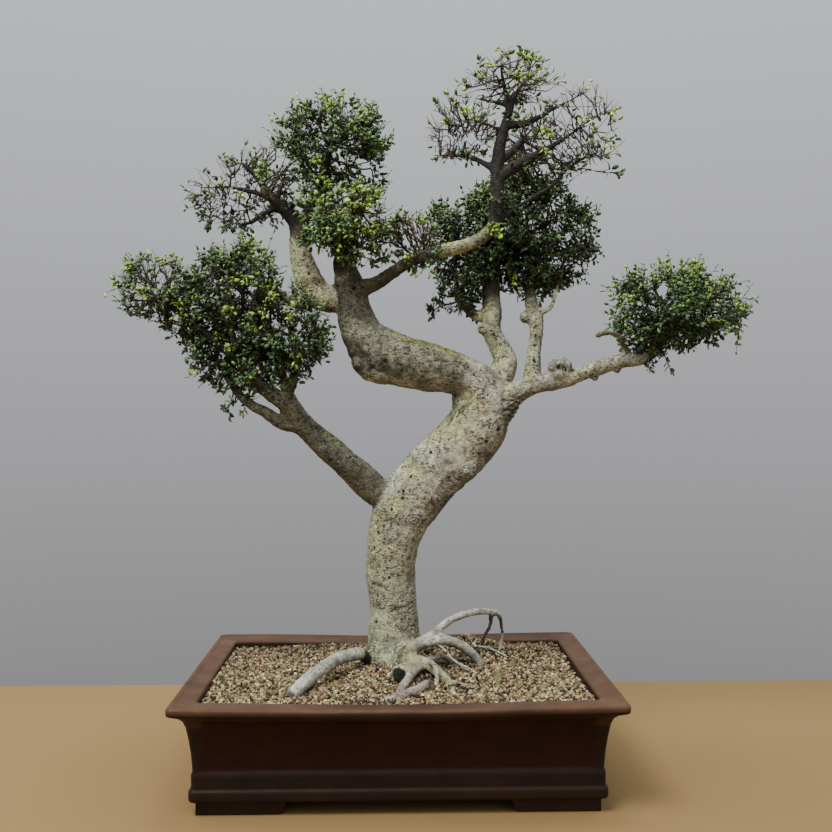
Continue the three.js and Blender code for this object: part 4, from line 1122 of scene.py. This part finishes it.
def bark_relief(spots, near, samples, marks):
    """How far the bark stands out, in millimetres: slow swellings, long flutes that follow the limb, uneven
    rings across it, ragged flakes, crumbs, and the marks: swellings and folds raised, pits and cracks
    sunk."""
    radius, along = samples[near, 3], samples[near, 5]
    kind = samples[near, 4]
    thick = np.clip(radius / 36, 0.1, 1)
    root = kind >= list(LIMBS).index("long_left")
    apart = kind[:, None] * [37.0, 0, 0]
    flute_place = np.column_stack([spots[:, 0], spots[:, 1], along * 0.16]) + apart
    ring_place = np.column_stack([along, along * 0 + kind * 19, 0.12 * spots[:, 0]])
    calm = np.where(root, 0.55, 1)
    relief = 2.0 * thick * cloud(spots, 46, 1) + 1.5 * thick * calm * cloud(flute_place, 17, 2)
    relief += 0.5 * thick**0.5 * calm * cloud(ring_place, 7, 5)
    flake = np.abs(cloud(spots * [1, 1, 1.5], 11, 6))
    relief += calm * thick**0.4 * (0.7 * smoothstep(0.05, 0.22, flake) - 0.5)
    relief += calm * (0.4 * cloud(spots, 5.5, 7) + 0.35 * cloud(spots, 3.0, 8))
    swellings, hollows, cracks, folds = marks
    relief += 2.6 * swellings - 2.2 * hollows - 1.3 * cracks + 1.1 * folds
    return relief - 1.6 * cut_face(spots)[0]


def cut_face(spots):
    """(dark middle, pale rim) of the sawn end of the cut root, each 0 to 1: its face, on the side that looks
    along the root, whose dark is a painted shadow, and the edge over its upper half, whose paleness is
    partly the cut's own pale edge and partly a painted highlight."""
    before, end = np.array(ROOTS["cut_end"][-2:])
    ahead = unit((end - before)[:3])
    offset = spots - end[:3]
    on_face = smoothstep(-3, -1, offset @ ahead) * (np.linalg.norm(offset, axis=1) < 1.5 * end[3])
    off_axis = np.linalg.norm(offset - (offset @ ahead)[:, None] * ahead, axis=1) / end[3]
    middle = on_face * smoothstep(0.98, 0.86, off_axis)
    return middle, (on_face - middle) * smoothstep(0, 3, offset[:, 2])


def covered(tone, layers):
    """Colours covered by layers (colour, share) in turn; a share is from 0 to 1 at each point."""
    for colour, share in layers:
        tone = tone + (colour - tone) * np.clip(share, 0, 1)[:, None]
    return tone


def bark_tone(spots, out, edges, near, samples, marks):
    """Colour of the bark: each limb's own, run into its neighbours', with algae where it faces up and left,
    painted shade where it faces down and right, under the bend and under the roots, moss along the bend's
    back, pale lichen patches, streaks along the roots, painted shade under the leaves and at the long root's
    neck, dark blots, a painted shadow on the cut root's face under a pale rim that is partly a painted
    highlight, and painted shade in the pits, cracks and folds. The fourth number is how speckled it is."""
    names = list(LIMBS)
    kinds = np.array([BARK_OF[name] for name in names])
    kind, along = samples[near, 4], samples[near, 5]
    x, z = spots[:, 0], spots[:, 2]

    def on(*limbs):
        return np.isin(kind, [names.index(limb) for limb in limbs])

    def around(at_x, at_z, wide, tall):
        return np.exp(-(((x - at_x) / wide) ** 2) - ((z - at_z) / tall) ** 2)

    trunk, root = on("trunk"), kind >= names.index("long_left")
    ragged = cloud(spots, 9, 24)
    tone = covered(kinds[kind.astype(int)], [
        # where the right-hand limb and the upper left limb run into the foliage they turn near-black:
        # painted shade of the leaves over dark bark
        (DARK_BARK_IN_LEAF_SHADE, on("right_limb") * smoothstep(185, 215, along + 8 * ragged)),
        (DARK_BARK_IN_LEAF_SHADE, on("upper_left") * smoothstep(118, 150, along + 14 * ragged)),
        (MOSSY, on("arch") * smoothstep(62, 34, along + 6 * ragged)),
    ])
    tone = evened(tone, edges, 40)
    light = ~root * smoothstep(0.08, 0.3, tone.sum(axis=1))
    lit = out @ unit(np.array([-0.8, -0.15, 0.55])) + 0.35 * cloud(spots, 30, 11)
    pale = trunk * smoothstep(0.12, 0.42, cloud(spots, 24, 12) + 0.3 * cloud(spots, 9, 15) + 0.15)
    bend = trunk * smoothstep(492, 516, z + 5 * ragged) * smoothstep(100, 66, x + 5 * ragged)
    top = out[:, 2] + 0.5 * cloud(spots, 11, 16)
    blotched = smoothstep(-0.4, 0.4, cloud(spots, 8, 26))
    hook = on("arch") * smoothstep(194, 200, along) * smoothstep(228, 221, along) + 0.9 * on("arch_tip")
    brown = smoothstep(0.1, 0.5, cloud(spots, 17, 23)) * on("upper_left", "upper_left_stub")
    bare_length = smoothstep(90, 112, along) * smoothstep(196, 176, along)
    leafy = np.array([lobe for lobes, *_ in PADS.values() for lobe in lobes], float)
    under = smoothstep(1.06, 0.74, inside(spots, leafy)[0] + 0.08 * ragged)
    tone = covered(tone, [
        (ALGAE, 0.75 * light * smoothstep(0.15, 0.75, lit + 0.25 * trunk * (z < 300))),
        # painted shade on the side turned away from the key light
        (SHADE_AND_DARK_BARK, 0.8 * light * smoothstep(0.2, 0.8, -lit)),
        (LICHEN, 0.45 * pale * smoothstep(300, 330, z) * smoothstep(530, 490, z)),
        ((ALGAE + LICHEN) / 2, 0.5 * trunk * smoothstep(330, 230, z)),
        (GREY, 0.8 * bend),
        # the top of the trunk darker: painted shade of the leaves over it
        (SHADE_AND_DARK_BARK, 0.7 * trunk * smoothstep(560, 600, z + 6 * ragged)),
        (MOSS, 0.7 * bend * smoothstep(0.6, 0.95, top + 0.5 * ragged) * smoothstep(-18, 8, x)),
        # painted shade under the bend
        (SHADE_AND_DARK_BARK * 0.6, 0.85 * bend * smoothstep(-0.1, 0.45, -out[:, 2] + 0.3 * ragged)),
        (SHADE_AND_DARK_BARK, 0.65 * trunk * (around(73, 497, 13, 15) + around(68, 478, 10, 9))),
        (SHADE_AND_DARK_BARK, 0.5 * trunk * around(-13, 318, 10, 22) * blotched),
        (RUST, 0.75 * trunk * around(112, 460, 5, 8)),
        (MOSS * 1.7, 0.6 * (around(147, 484, 8, 7) + on("right") * around(232, 502, 12, 9))),
        (MOSS * 1.7, 0.45 * on("right") * around(265, 514, 16, 6)),
        (SHADE_AND_DARK_BARK * 1.4, hook),
        # painted shade at the long root's neck, where it meets the trunk
        (SHADE_AND_DARK_BARK * 0.4, on("long_left") * smoothstep(24, 20, along + 2 * ragged)),
        (SHADE_AND_DARK_BARK, 0.3 * on("left", "left_low", "left_right")),
        (LICHEN, 0.35 * on("right")),
        (RUST * 0.45, 0.6 * brown),
        (SHADE_AND_DARK_BARK, 0.75 * on("right_limb") * smoothstep(85, 60, along)),
        ((ALGAE + PEELING) / 2, 0.6 * on("right_limb") * bare_length),
        # painted shade on the tops of the uprights, under the leaves
        (SHADE_AND_DARK_BARK, 0.85 * on("upright", "second_upright") * smoothstep(588, 618, z + 8 * ragged)),
        # painted shade of the leaves on pale wood inside the clouds
        (SHADE_AND_DARK_BARK * 0.7, 0.85 * light * under),
        (ROOT, 0.3 * trunk * smoothstep(170, 140, z) * smoothstep(-8, 12, x)),
    ])
    streaks = cloud(np.column_stack([0.2 * along + 31 * kind, 6 * out[:, 0], 6 * out[:, 2]]), 2.6, 27)
    tone = tone * (1 + root * 0.28 * streaks)[:, None]
    # painted shade under the roots
    tone = covered(tone, [(SHADE_AND_DARK_BARK, 0.6 * root * smoothstep(0.15, 0.85, -out[:, 2]))])
    mottled = 0.26 * cloud(spots, 20, 13) + 0.34 * cloud(spots, 7, 14) + 0.22 * cloud(spots, 3.6, 18)
    tone = tone * (1 + mottled)[:, None]
    blots = smoothstep(0.42, 0.62, cloud(spots, 4.6, 17))
    cut, rim = cut_face(spots)
    swellings, hollows, cracks, folds = marks
    tone = covered(tone, [
        (SHADE_AND_DARK_BARK * 0.5, blots * np.where(root, 0.25, 0.45)),
        # the pale rim of the cut, on its upper edge only: the cut's own pale edge with a painted highlight
        (ROOT * 1.2, rim),
        # painted shadow on the cut root's face
        (np.array([0.024, 0.028, 0.016]), cut),
        (LICHEN, 0.35 * swellings),
        # painted shade in the troughs of the folds, in the pits and in the cracks
        (SHADE_AND_DARK_BARK * 0.5, 0.85 * smoothstep(0.15, 0.7, -folds)),
        (SHADE_AND_DARK_BARK * 0.3, np.maximum(0.25 * hollows, 0.85 * cracks)),
    ])
    smooth_patch = smoothstep(24, 10, np.linalg.norm(spots[:, [0, 2]] - [66, 392], axis=1))
    return np.column_stack([np.clip(tone, 0.005, 0.9), np.where(root, 0.6, 1 - 0.45 * smooth_patch)])


def tree_wood(samples, material):
    """The trunk, branches and roots as one skin: melted tubes, evened at the forks by steps in and steps
    back out, then raised along the outward direction by the bark's relief."""
    wood = rough_wood()
    edges = rows_of(wood.data.edges, "vertices", 2, np.int64)
    spots = evened((rows_of(wood.data.vertices, "co", 3) - POT_MIDDLE) / MM, edges, 4, (0.5, -0.52))
    wood.data.vertices.foreach_set("co", at_pot(spots).ravel())
    wood.data.update()
    out = rows_of(wood.data.vertex_normals, "vector", 3)
    near, _ = nearest_wood(spots, samples)
    marks = front_marks(spots, out)
    carried = {"healed": mark_offsets(spots, out, SCARS, 0.8), "pitted": mark_offsets(spots, out, PITS, 1.2)}
    tone = bark_tone(spots, out, edges, near, samples, marks)
    spots = spots + out * bark_relief(spots, near, samples, marks)[:, None]
    faces = rows_of(wood.data.loops, "vertex_index", 1, np.int64).reshape(-1, 4).tolist()
    bpy.data.objects.remove(wood)
    return piece("tree_wood", at_pot(spots), faces, material, True, tone, carried)


def plain_root(name, spots, faces, material, tone):
    """A small root of one colour, far from every mark on the bark."""
    carried = dict.fromkeys(["healed", "pitted"], np.full((len(spots), 3), UNMARKED))
    return piece(name, at_pot(spots), faces, material, True, np.tile(tone, (len(spots), 1)), carried)


def whisker_roots(material):
    """Thin dry roots over the soil."""
    spots, faces = joined([limb_tube(points, LIMB_STEP, ROOT_SIDES) for points in WHISKERS])
    return plain_root("whisker_roots", spots, faces, material, ROOT * 1.15)


def cut_stub(material):
    """The short cut root that stands in the soil: a round tube with a rough, slightly domed end."""
    path = smooth_path(STUB, 2.5)
    path[-1, 3] *= 0.7
    spots, faces = tubes(path[None, :, :3], path[None, :, 3], STUB_SIDES)
    spots[:, :2] += 0.35 * np.column_stack([cloud(spots, 5, 8), cloud(spots, 5, 9)])
    return plain_root("cut_root", spots, faces, material, [0.36, 0.345, 0.15])


# The foliage.


def radii_towards(lobes, offset):
    """A lobe's three radii on the side where an offset from its middle lies."""
    return np.where(offset[..., 2:] > 0, lobes[..., 3:6], lobes[..., [3, 4, 6]])


def inside(points, lobes):
    """Smallest share of a lobe's radius at which each point lies, and that lobe's number."""
    offset = points[:, None] - lobes[:, :3]
    share = np.linalg.norm(offset / radii_towards(lobes[None], offset), axis=2)
    return share.min(axis=1), share.argmin(axis=1)


def twig_points(lobes, count, rng):
    """Random points through the lobes, denser towards their surface: centre + radii x direction x share."""
    size = lobes[:, 3] * lobes[:, 4] * (lobes[:, 5] + lobes[:, 6])
    lobe = lobes[rng.choice(len(lobes), 4 * count, p=size / size.sum())]
    direction = unit(rng.normal(size=(4 * count, 3)))
    share = rng.uniform(0.05, 1, (4 * count, 1)) ** 0.5 * 0.78
    points = lobe[:, :3] + radii_towards(lobe, direction) * direction * share
    hidden, _ = inside(points, lobes)
    order = np.flatnonzero(hidden > 0.15)[:count]
    return points[order]


def twig_tree(anchors, points, straight):
    """Joins every point to the tree that grows from the anchors: each, nearest first, hangs on the node for
    which its distance plus a part (straight) of that node's distance from the anchors is least. Returns the
    places, the parents (-1 at an anchor) and how many twigs each carries."""
    away = np.linalg.norm(points[:, None] - anchors, axis=2).min(axis=1)
    points = points[np.argsort(away)]
    places = np.concatenate([anchors, points])
    reach = np.zeros(len(places))
    parents = np.full(len(places), -1)
    for i in range(len(anchors), len(places)):
        gap = np.linalg.norm(places[:i] - places[i], axis=1)
        parents[i] = np.argmin(gap + straight * reach[:i])
        reach[i] = reach[parents[i]] + gap[parents[i]]
    load = np.ones(len(places))
    for i in range(len(places) - 1, len(anchors) - 1, -1):
        load[parents[i]] += load[i]
    return places, parents, load


def twig_curves(places, parents, load, rng):
    """A bent twig for each node that hangs on another: a cubic that leaves along its parent's direction,
    with radii from the load that each end carries."""
    kids = np.flatnonzero(parents >= 0)
    start, end = places[parents[kids]], places[kids]
    heading = end - start
    grand = parents[parents[kids]]
    before = np.where((grand >= 0)[:, None], start - places[np.maximum(grand, 0)], heading)
    length = np.linalg.norm(heading, axis=1, keepdims=True)
    leave = unit(unit(before) + 0.7 * unit(heading)) * length
    arrive = heading + rng.normal(size=heading.shape) * 0.25 * length
    t = np.linspace(0, 1, TWIG_RINGS)[:, None]
    path = cubic(t, start[:, None], leave[:, None], end[:, None], arrive[:, None])
    thick = np.minimum(0.38 + 0.37 * np.sqrt(load[kids]), 3.4)
    first = np.minimum(thick * 1.15, 3.6)
    return path, first[:, None] * (1 - t[:, 0]) + thick[:, None] * t[:, 0]


def shoot_curves(places, load, lobes, count, bare, longest, rng):
    """Young shoots: each starts at a twig's node, heads outwards and upwards, and bends up:
    start + length (heading t + bend t^2). One that would leave its lobe is shortened to end near the
    lobe's surface. The barer the cloud, the more of them stand on its outermost twigs."""
    share, lobe = inside(places, lobes)
    weight = (0.2 * (1 - bare) + share ** (2 + 5 * bare)) / np.sqrt(load)
    from_node = rng.choice(len(places), count, p=weight / weight.sum())
    start, own = places[from_node], lobes[lobe[from_node]]
    offset = start - own[:, :3]
    outward = unit(offset / radii_towards(own, offset) ** 1.5)
    strays = rng.normal(size=(count, 3)) * (0.6 - 0.2 * bare)
    heading = unit(outward * (0.8 + 0.4 * bare) + [0, 0, 0.3] + strays)
    bend = np.array([0, 0, 0.2]) + rng.normal(size=(count, 3)) * 0.16
    length = rng.uniform(0.45, 1, count) * longest
    reach, _ = inside(start + length[:, None] * (heading + bend), lobes)
    limit = rng.uniform(0.8, 1.06, count)
    here = share[from_node]
    length = length * np.clip((limit - here) / np.maximum(reach - here, 0.02), 0.3, 1)
    t = np.linspace(0, 1, SHOOT_RINGS)[:, None]
    path = start[:, None] + length[:, None, None] * (heading[:, None] * t + bend[:, None] * t**2)
    return path, length, outward


def tuft_shoots(places, tufts, rng):
    """Three shoots for each tuft: from the nearest twig's node to a place near the tuft, bent upwards:
    start + t (end - start) + rise t (1 - t)."""
    spot = np.repeat(np.array(tufts, float), 3, axis=0)
    near = np.linalg.norm(spot[:, None] - places, axis=2).argmin(axis=1)
    start, end = places[near], spot + rng.normal(size=spot.shape) * 4.5
    t = np.linspace(0, 1, SHOOT_RINGS)[:, None]
    rise = rng.uniform(-3, 9, (len(spot), 1, 1)) * [0, 0, 1]
    path = start[:, None] + t * (end - start)[:, None] + rise * t * (1 - t)
    return path, np.full(len(spot), TUFT_LENGTH), unit(end - start + [0, -4, 4])


def leaves_on(path, length, outward, bare, young, rng):
    """Two ranks of leaves along each shoot, one every LEAF_GAP, left and right by turns, and one at its tip.
    Returns origin, direction, facing, size and youth of each leaf. Young shoots are bright as a whole, so
    that their leaves make small bright tufts."""
    number = np.arange(MOST_LEAVES)
    count = np.clip(np.round(length / LEAF_GAP), 3, MOST_LEAVES).astype(int)
    t = np.clip(0.2 + 0.8 * number / (count[:, None] - 1), 0, 1)
    shoots = len(path)
    sample = t * (path.shape[1] - 1)
    low = np.minimum(sample.astype(int), path.shape[1] - 2)
    row = np.arange(shoots)[:, None]
    mix = (sample - low)[..., None]
    origin = path[row, low] * (1 - mix) + path[row, low + 1] * mix
    ahead = unit(path[row, low + 1] - path[row, low])
    sky = unit(0.5 * outward + [0, 0, 0.75] + rng.normal(size=(shoots, 3)) * 0.5)[:, None]
    side = unit(np.cross(sky, ahead))
    sign = np.where(number % 2, 1, -1)[None, :, None] * rng.choice([-1, 1], (shoots, 1, 1))
    at_tip = (number == count[:, None] - 1)[..., None]
    spread = np.where(at_tip, 0.15, 0.95)
    along = unit(0.62 * ahead + spread * sign * side + rng.normal(size=origin.shape) * 0.26)
    facing = np.cross(along, np.cross(sky + rng.normal(size=origin.shape) * 0.35, along))
    size = LEAF_LENGTH * rng.uniform(0.6, 1.2, t.shape) * np.where(t > 0.8, 0.85, 1)
    high = np.clip(0.55 + 0.55 * outward[:, 2:3], 0, 1)
    fresh = rng.random((shoots, 1)) < young * (0.3 + high) * np.where(outward[:, 1:2] > 0, 0.34, 0.1)
    older = rng.uniform(0.02, 0.45, (shoots, 1)) * (0.45 + high) + 0.2 * young
    age = np.where(fresh, rng.uniform(0.72, 1, (shoots, 1)), older)
    youth = np.clip(age + rng.normal(0, 0.06, t.shape), 0, 1)
    keep = (number < count[:, None]) & (rng.random(t.shape) > 0.9 * bare * (1.2 - t)) & (t > 0.55 * bare)
    return origin[keep], along[keep], unit(facing[keep]), size[keep], youth[keep]


def leaf_shape():
    """One elm leaf, 1 long: a blunt oval outline, raised at its sides and bent down at its tip, closed by a
    point of the midrib above and one below. Returns points and triangles."""
    u = np.array([0.27, 0.72])
    wide = LEAF_WIDTH * np.array([0.46, 0.43])
    right = np.column_stack([u, -wide, 0 * u])
    left = np.column_stack([u, wide, 0 * u])[::-1]
    ribs = [[0.48, 0, 0.012], [0.48, 0, -0.012]]
    points = np.concatenate([[[-0.04, 0, 0]], right, [[1, 0, 0]], left, ribs])
    points[:, 2] += 0.36 * np.abs(points[:, 1]) - 0.2 * points[:, 0] ** 2
    upper = [[k, (k + 1) % 6, 6] for k in range(6)]
    lower = [[(k + 1) % 6, k, 7] for k in range(6)]
    return points, np.array(upper + lower)


def leaf_tones(youth, rng):
    """Leaf colours by youth, each a little different."""
    place = np.clip(youth, 0, 1) * (len(LEAF_GREENS) - 1)
    low = np.minimum(place.astype(int), len(LEAF_GREENS) - 2)
    mix = (place - low)[:, None]
    tone = LEAF_GREENS[low] * (1 - mix) + LEAF_GREENS[low + 1] * mix
    return tone * rng.uniform(0.6, 1.6, (len(youth), 1)) * rng.uniform(0.9, 1.1, (len(youth), 3))


def blades(origin, along, facing, size):
    """Leaves of those sizes at their origins, each turned to point along and to face its own way. Returns
    vertices, triangles and how many vertices a leaf has."""
    shape, triangles = leaf_shape()
    axes = np.stack([along, np.cross(facing, along), facing], axis=1)
    spots = origin[:, None] + size[:, None, None] * np.einsum("vj,njk->nvk", shape, axes)
    faces = triangles[None] + len(shape) * np.arange(len(origin))[:, None, None]
    return spots.reshape(-1, 3), faces.reshape(-1, 3).tolist(), len(shape)


def twigwork(twigs, twig_radii, shoots, rng):
    """Vertices, faces and colours of the old twigs and of the young shoots, which stay inside the model's
    box."""
    shoots = np.minimum(np.maximum(at_pot(shoots), CAD_LOW + SHOOT_MARGIN), CAD_HIGH - SHOOT_MARGIN)
    shoots = (shoots - POT_MIDDLE) / MM
    shoot_radii = np.tile(np.linspace(0.62, 0.3, SHOOT_RINGS), (len(shoots), 1))
    spots, faces = joined([tubes(twigs, twig_radii, TWIG_SIDES), tubes(shoots, shoot_radii, SHOOT_SIDES)])
    tone = [
        np.repeat(colour * rng.uniform(0.6, 1.5, (count, 1)), corners, axis=0)
        for colour, count, corners in (
            (OLD_TWIG, len(twigs), TWIG_RINGS * TWIG_SIDES),
            (YOUNG_SHOOT, len(shoots), SHOOT_RINGS * SHOOT_SIDES),
        )
    ]
    return spots, faces, np.concatenate(tone)


def pad_pieces(name, lobes, feeders, leaves, bare, young, scale, seed, leaf_material, twig_material):
    """One cloud of foliage: twigs that fill its lobes from the limbs that feed it, shoots on the twigs and
    leaves on the shoots, darker the deeper they sit: older inner leaves and painted shade inside the cloud.
    The leaves are scale times the usual size."""
    rng = np.random.default_rng(seed)
    lobes = np.array(lobes, float)
    paths = np.concatenate([smooth_path(LIMBS[limb], 9)[2:, :3] for limb in feeders])
    share, _ = inside(paths, lobes)
    points = twig_points(lobes, round(leaves / LEAVES_PER_TWIG + 110 * bare) + 16, rng)
    places, parents, load = twig_tree(paths[share < 0.92], points, 0.45 + 0.4 * bare)
    twigs, twig_radii = twig_curves(places, parents, load, rng)
    count = round(leaves / LEAVES_PER_SHOOT / (1 - 0.45 * bare))
    shoots, length, outward = shoot_curves(places, load, lobes, count, bare, SHOOT_LENGTH, rng)
    origin, along, facing, size, youth = leaves_on(shoots, length, outward, bare, young, rng)
    count = round(30 + 130 * bare)
    spikes, _, _ = shoot_curves(places, load, lobes, count, 0.4, SPIKE_LENGTH, rng)
    shoots = np.concatenate([shoots, spikes])
    size = size * scale
    if name in TUFTS:
        tufts, length, outward = tuft_shoots(places, TUFTS[name], rng)
        bright = leaves_on(tufts, length, outward, 0.5, 0, rng)
        bright = (*bright[:3], bright[3] * 0.8, rng.uniform(0.78, 1, len(bright[4])))
        grown = origin, along, facing, size, youth
        origin, along, facing, size, youth = map(np.concatenate, zip(grown, bright))
        shoots = np.concatenate([shoots, tufts])
    tip = at_pot(origin + along * size[:, None] * 1.05)
    fits = np.all((tip > CAD_LOW + LEAF_MARGIN) & (tip < CAD_HIGH - LEAF_MARGIN), axis=1)
    origin, along, facing, size, youth = (a[fits] for a in (origin, along, facing, size, youth))
    spots, faces, corners = blades(origin, along, facing, size)
    # Leaves deep inside the cloud are darker: older leaves, and painted shade of the cloud.
    depth = 0.46 + 0.66 * smoothstep(0.5, 0.95, inside(origin, lobes)[0])
    tone = np.repeat(leaf_tones(youth, rng) * depth[:, None], corners, axis=0)
    leafage = piece(name + "_leaves", at_pot(spots), faces, leaf_material, tone=tone)
    spots, faces, tone = twigwork(twigs, twig_radii, shoots, rng)
    return leafage, piece(name + "_twigs", at_pot(spots), faces, twig_material, tone=tone)


# The camera, the studio and the whole.


def camera():
    """The photograph's view: square frame, a 42 mm lens, turned a little right and down."""
    data = bpy.data.cameras.new("camera")
    data.sensor_width = SENSOR
    data.lens = FOCAL_PIXELS / IMAGE_PIXELS * SENSOR
    turn = (math.radians(90 - CAMERA_DIP), 0, math.radians(-CAMERA_TURN))
    bpy.context.scene.camera = placed("camera", data, at_pot(CAMERA_PLACE), turn)


def plain_material(name, colour, roughness):
    """A plain surface: one colour, very faintly clouded."""
    f = Finish(name, roughness)
    return f.done(f.ramp(f.noise(400, 3), (0.3, colour), (0.7, tuple(c * 0.96 for c in colour))))


def studio():
    """A plain pale table top that ends a little behind the pot, a pale surround that is lighter towards the
    top, and soft lamps: a broad one high on the left, a weak one on the right and one above."""
    edge = at_pot([0, TABLE_EDGE, 0])[1]
    floor = piece(
        "floor", [(-3, -2.2, 0), (3, -2.2, 0), (3, edge, 0), (-3, edge, 0)], [(0, 1, 2, 3)],
        plain_material("pale_floor", TABLE_COLOUR, 0.85),
    )
    world = bpy.data.worlds.new("surround")
    bpy.context.scene.world = world
    world.use_nodes = True
    sky = Nodes(world.node_tree)
    height = sky.node("SeparateXYZ", {0: sky.where}).outputs["Z"]
    share = sky.node("MapRange", {"From Min": -0.35, "From Max": 0.85, "Value": height}).outputs["Result"]
    sky.put(sky.tree.nodes["Background"].inputs["Color"], sky.ramp(share, *SURROUND))
    for name, place, size, power in LAMPS:
        data = bpy.data.lights.new(name, "AREA")
        data.energy = power
        data.size = size
        aim = np.array([0, 0, 0.5]) - place
        tilt = math.acos(-aim[2] / np.linalg.norm(aim))
        placed(name, data, place, (tilt, 0, math.atan2(aim[1], aim[0]) - math.pi / 2))


def main():
    """The whole: camera and studio, pot, soil, wood, then each cloud of foliage."""
    camera()
    studio()
    stoneware, bark, leaf, twig = stoneware_finish(), bark_finish(), leaf_finish(), twig_finish()
    for make in (pot_walls, pot_floor, pot_feet):
        settle(make(stoneware), "stoneware", "pot")
    mesh_finish = screen_finish()
    for side in ("left", "right"):
        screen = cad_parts["drain_screen_" + side]
        screen.data.materials.clear()
        screen.data.materials.append(mesh_finish)
    samples = wood_samples()
    settle(soil_bed(soil_finish()), "soil", "soil")
    settle(soil_grains(samples, grain_finish()), "soil", "soil")
    settle(tree_wood(samples, bark), "bark", "trunk_branches_and_roots")
    settle(whisker_roots(bark), "bark")
    settle(cut_stub(bark), "bark", "cut_root_stub")
    for seed, (name, pad) in enumerate(PADS.items()):
        for thing in pad_pieces(name, *pad, seed, leaf, twig):
            settle(thing, "leaf", name)


main()
